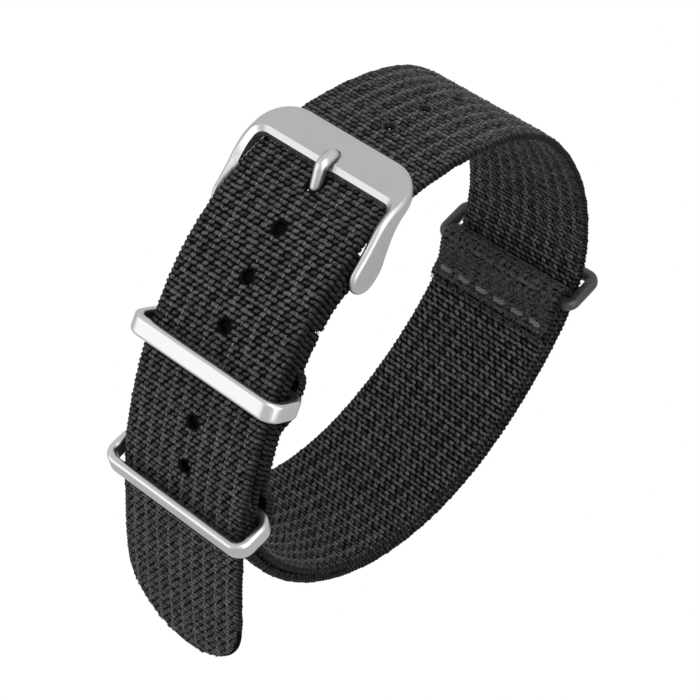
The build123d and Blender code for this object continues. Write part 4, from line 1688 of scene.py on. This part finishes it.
class Studio:
    """White studio: lamps, surroundings and camera."""

    BOXES = (
        Softbox("left_box", (-0.66, 0.42, 0.20), 0.8, 1.6),
        Softbox("top_box", (-0.15, -0.42, 0.68), 0.5, 2.0),
        Softbox("near_box", (-0.1, -0.75, 0.12), 0.7, 2.0),
    )
    TARGET = (0.0, 0.0, 0.035)
    GROUND_END, GROUND_LIGHT = 0.3, 0.6
    SKY_START, SKY_LIGHT = 0.8, 0.75

    def world(self) -> None:
        """Sets the surroundings: white to the camera, a soft grey room to everything else."""
        scene = bpy.context.scene
        scene.world = bpy.data.worlds.new("studio")
        scene.world.use_nodes = True
        tree = scene.world.node_tree
        tree.nodes.clear()
        out, room, white, mix, path, where, split, height, ramp = (
            tree.nodes.new("ShaderNode" + kind)
            for kind in ("OutputWorld", "Background", "Background", "MixShader", "LightPath", "TexCoord",
                         "SeparateXYZ", "MapRange", "ValToRGB")
        )
        white.inputs["Color"].default_value = (1, 1, 1, 1)
        height.inputs["From Min"].default_value = -1.0
        stops = ((self.GROUND_END, self.GROUND_LIGHT), (self.SKY_START, self.SKY_LIGHT))
        for element, (place, light) in zip(ramp.color_ramp.elements, stops):
            element.position, element.color = place, (light, light, light, 1)
        for source, output, sink, socket in (
            (where, "Generated", split, 0), (split, "Z", height, "Value"), (height, 0, ramp, "Fac"),
            (ramp, "Color", room, "Color"), (path, "Is Camera Ray", mix, "Fac"), (room, 0, mix, 1),
            (white, 0, mix, 2), (mix, 0, out, "Surface"),
        ):
            tree.links.new(source.outputs[output], sink.inputs[socket])
        scene.view_settings.view_transform = "Standard"

    def build(self, crown: tuple[float, float]) -> None:
        """Sets up lamps, surroundings and camera.

        Args:
            crown: x and z of the loop's crown in the CAD's frame.
        """
        self.world()
        for box in self.BOXES:
            box.build(Vector(self.TARGET))
        CameraFit().build(crown)


def save_size(name: str) -> None:
    """Writes the object's box under a name, beside what the file holds.

    Args:
        name: when the box was measured.
    """
    try:
        with open(SIZE_FILE, encoding="utf-8") as handle:
            sizes = json.load(handle)
    except (OSError, ValueError):
        sizes = {}
    low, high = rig.bounds()
    sizes[name] = [[float(v) for v in low], [float(v) for v in high]]
    with open(SIZE_FILE, "w", encoding="utf-8") as handle:
        json.dump(sizes, handle)


@dataclass(frozen=True)
class StrapPair:
    """Both straps in their webbing, with the stretches that other layers hide, in millimetres."""

    course: StrapCourse
    weave: Weave = Weave()
    hidden_from_hinge: float = 3.0
    inner_past_tunnel: float = 12.0
    outer_before_tunnel: float = 4.0
    stack_clearance: float = 6.0
    short_hidden: float = 30.0
    closed_waist: float = 0.92
    open_waist: float = 0.12
    tongue_waist: float = 0.16
    tongue_lean: float = 0.6
    tongue_play: float = 0.3

    def materials(self) -> list[bpy.types.Material]:
        """Makes the webbing's materials.

        Returns:
            One for each slot, in order.
        """
        finishes = (
            # the ground is near-black with little gloss: the webbing's black plus painted shade in the gaps between
            # yarns
            YarnFinish("webbing_ground", 0.0012, 0.003, 0.9, sheen=0.0, gloss=0.05),
            YarnFinish("webbing_yarn", 0.003, 0.105, 0.42, sheen=0.0, gloss=0.16, filament_across=1.9,
                       filament_along=0.9, relief=0.08),
            YarnFinish("webbing_fleck", 0.06, 0.28, 0.42, sheen=0.0, gloss=0.3),
            # the rim is near-black: painted shade inside the holes
            YarnFinish("webbing_rim", 0.001, 0.004, 0.7, sheen=0.0, gloss=0.08),
        )
        return [finish.build() for finish in finishes]

    def holes(self) -> list[Hole]:
        """Works out the long strap's holes, with the tongue's as the last.

        Returns:
            The holes: nearly closed toward the watch, and backed where the tail lies on other layers.
        """
        course, sizes = self.course, self.course.sizes
        first, others = course.hole_stations()
        radius = sizes.hole_diameter / 2
        free = first + course.tunnels[1] - course.hinge_station
        holes = [
            Hole(station, radius, waist=self.closed_waist if station < first else self.open_waist,
                 backed=first < station < free)
            for station in others
        ]
        stretch = sizes.tongue_hole_length / 2 - radius - self.tongue_play
        return [*holes, Hole(first, radius, stretch, self.tongue_waist, self.tongue_lean)]

    def long_strap(self, materials: list[bpy.types.Material]) -> Webbing:
        """Describes the long strap.

        Args:
            materials: the webbing's materials.

        Returns:
            The strap, not yet woven.
        """
        course, sizes = self.course, self.course.sizes
        hinge, lower = course.hinge_station, course.tunnels[1]
        fold = sizes.bar_radius + sizes.bar_clearance + sizes.thickness / 2
        wrap = fold * math.radians(sizes.fold_turn)
        tail_start = course.crown_station + sizes.crown_to_hinge
        hidden = [
            (Face.INNER, hinge + self.hidden_from_hinge, lower + self.inner_past_tunnel),
            (Face.OUTER, hinge + self.hidden_from_hinge, lower - self.outer_before_tunnel),
            (Face.INNER, tail_start + self.hidden_from_hinge, tail_start + (lower - hinge) - self.stack_clearance),
            (Face.OUTER, 0.0, sizes.fold_leg - self.hidden_from_hinge),
        ]
        return Webbing("long_strap", course, course.long, self.weave, materials, hidden=hidden, holes=self.holes(),
                       slit=(hinge - wrap, hinge, sizes.slit_width / 2), frayed_start=True, round_tip=True, seed=11)

    def short_strap(self, materials: list[bpy.types.Material]) -> Webbing:
        """Describes the short strap.

        Args:
            materials: the webbing's materials.

        Returns:
            The strap, not yet woven.
        """
        course = self.course
        return Webbing("short_strap", course, course.short, self.weave, materials,
                       hidden=[(Face.OUTER, self.hidden_from_hinge, self.short_hidden)],
                       felted=(course.short_fold_station, course.short.length), fray_length=0.9,
                       frayed_start=True, frayed_end=True, seed=23)

    def build(self) -> None:
        """Weaves both straps and puts them in the CAD's place."""
        materials = self.materials()
        woven = {webbing.name: webbing.build() for webbing in (self.long_strap(materials), self.short_strap(materials))}
        for node, strap in woven.items():
            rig.ride(strap, "straps")
            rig.replaces(strap, node)
            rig.slot(strap, "nylon_webbing")


@dataclass(frozen=True)
class Seams:
    """All the seams of the strap."""

    course: StrapCourse
    diameter: float = 0.34
    ring_diameter: float = 0.8
    ring_length: float = 1.5

    def build(self) -> None:
        """Sews every seam in the CAD's place."""
        course = self.course
        black = YarnFinish("seam_thread_black", 0.010, 0.04, 0.55, 0.12, 0.3, 1.4, 9.0).build()
        light = YarnFinish("seam_thread_grey", 0.03, 0.15, 0.6, 0.2, 0.3, 1.4, 9.0, 0.03).build()
        hinge, (upper, lower) = course.hinge_station, course.tunnels
        rows = {
            "hinge_seam": hinge + SeamPlaces.FROM_HINGE,
            "upper_keeper_top_seam": upper - SeamPlaces.FROM_KEEPER,
            "upper_keeper_bottom_seam": upper + SeamPlaces.FROM_KEEPER,
            "lower_keeper_top_seam": lower - SeamPlaces.FROM_KEEPER,
            "lower_keeper_bottom_seam": lower + SeamPlaces.FROM_LOWER_KEEPER,
        }
        seams = [Seam(name, course, course.long, station, self.diameter, black) for name, station in rows.items()]
        station = course.short_fold_station - SeamPlaces.FROM_RING
        ring = Seam("ring_seam", course, course.short, station, self.ring_diameter, light, length=self.ring_length)
        seams.append(ring)
        for seam in seams:
            thread = seam.build()
            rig.ride(thread, "straps")
            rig.replaces(thread, seam.name)
            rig.slot(thread, "grey_thread" if seam.name == "ring_seam" else "black_thread")


def main() -> None:
    """Builds the scene in order."""
    logging.basicConfig(level=logging.INFO)
    save_size("loaded")
    course = StrapCourse(StrapSizes())
    StrapPair(course).build()
    Seams(course).build()
    Hardware(("buckle_frame",), SteelFinish("buckle_steel", 0.61, 0.34), 0.12).dress()
    Hardware(("buckle_tongue",), SteelFinish("tongue_steel", 0.66, 0.3)).dress()
    Hardware(("upper_keeper", "lower_keeper"), SteelFinish("keeper_steel", 0.7, 0.3)).dress()
    Hardware(("strap_ring",), CoatedFinish("ring_black")).dress()
    Hardware(
        ("spring_bar_tube", "spring_bar_spring", "spring_bar_pin_near", "spring_bar_pin_far"),
        SteelFinish("bar_steel", 0.65, 0.22),
    ).dress()
    Studio().build(course.shift)
    save_size("dressed")


if __name__ == "__main__":
    main()
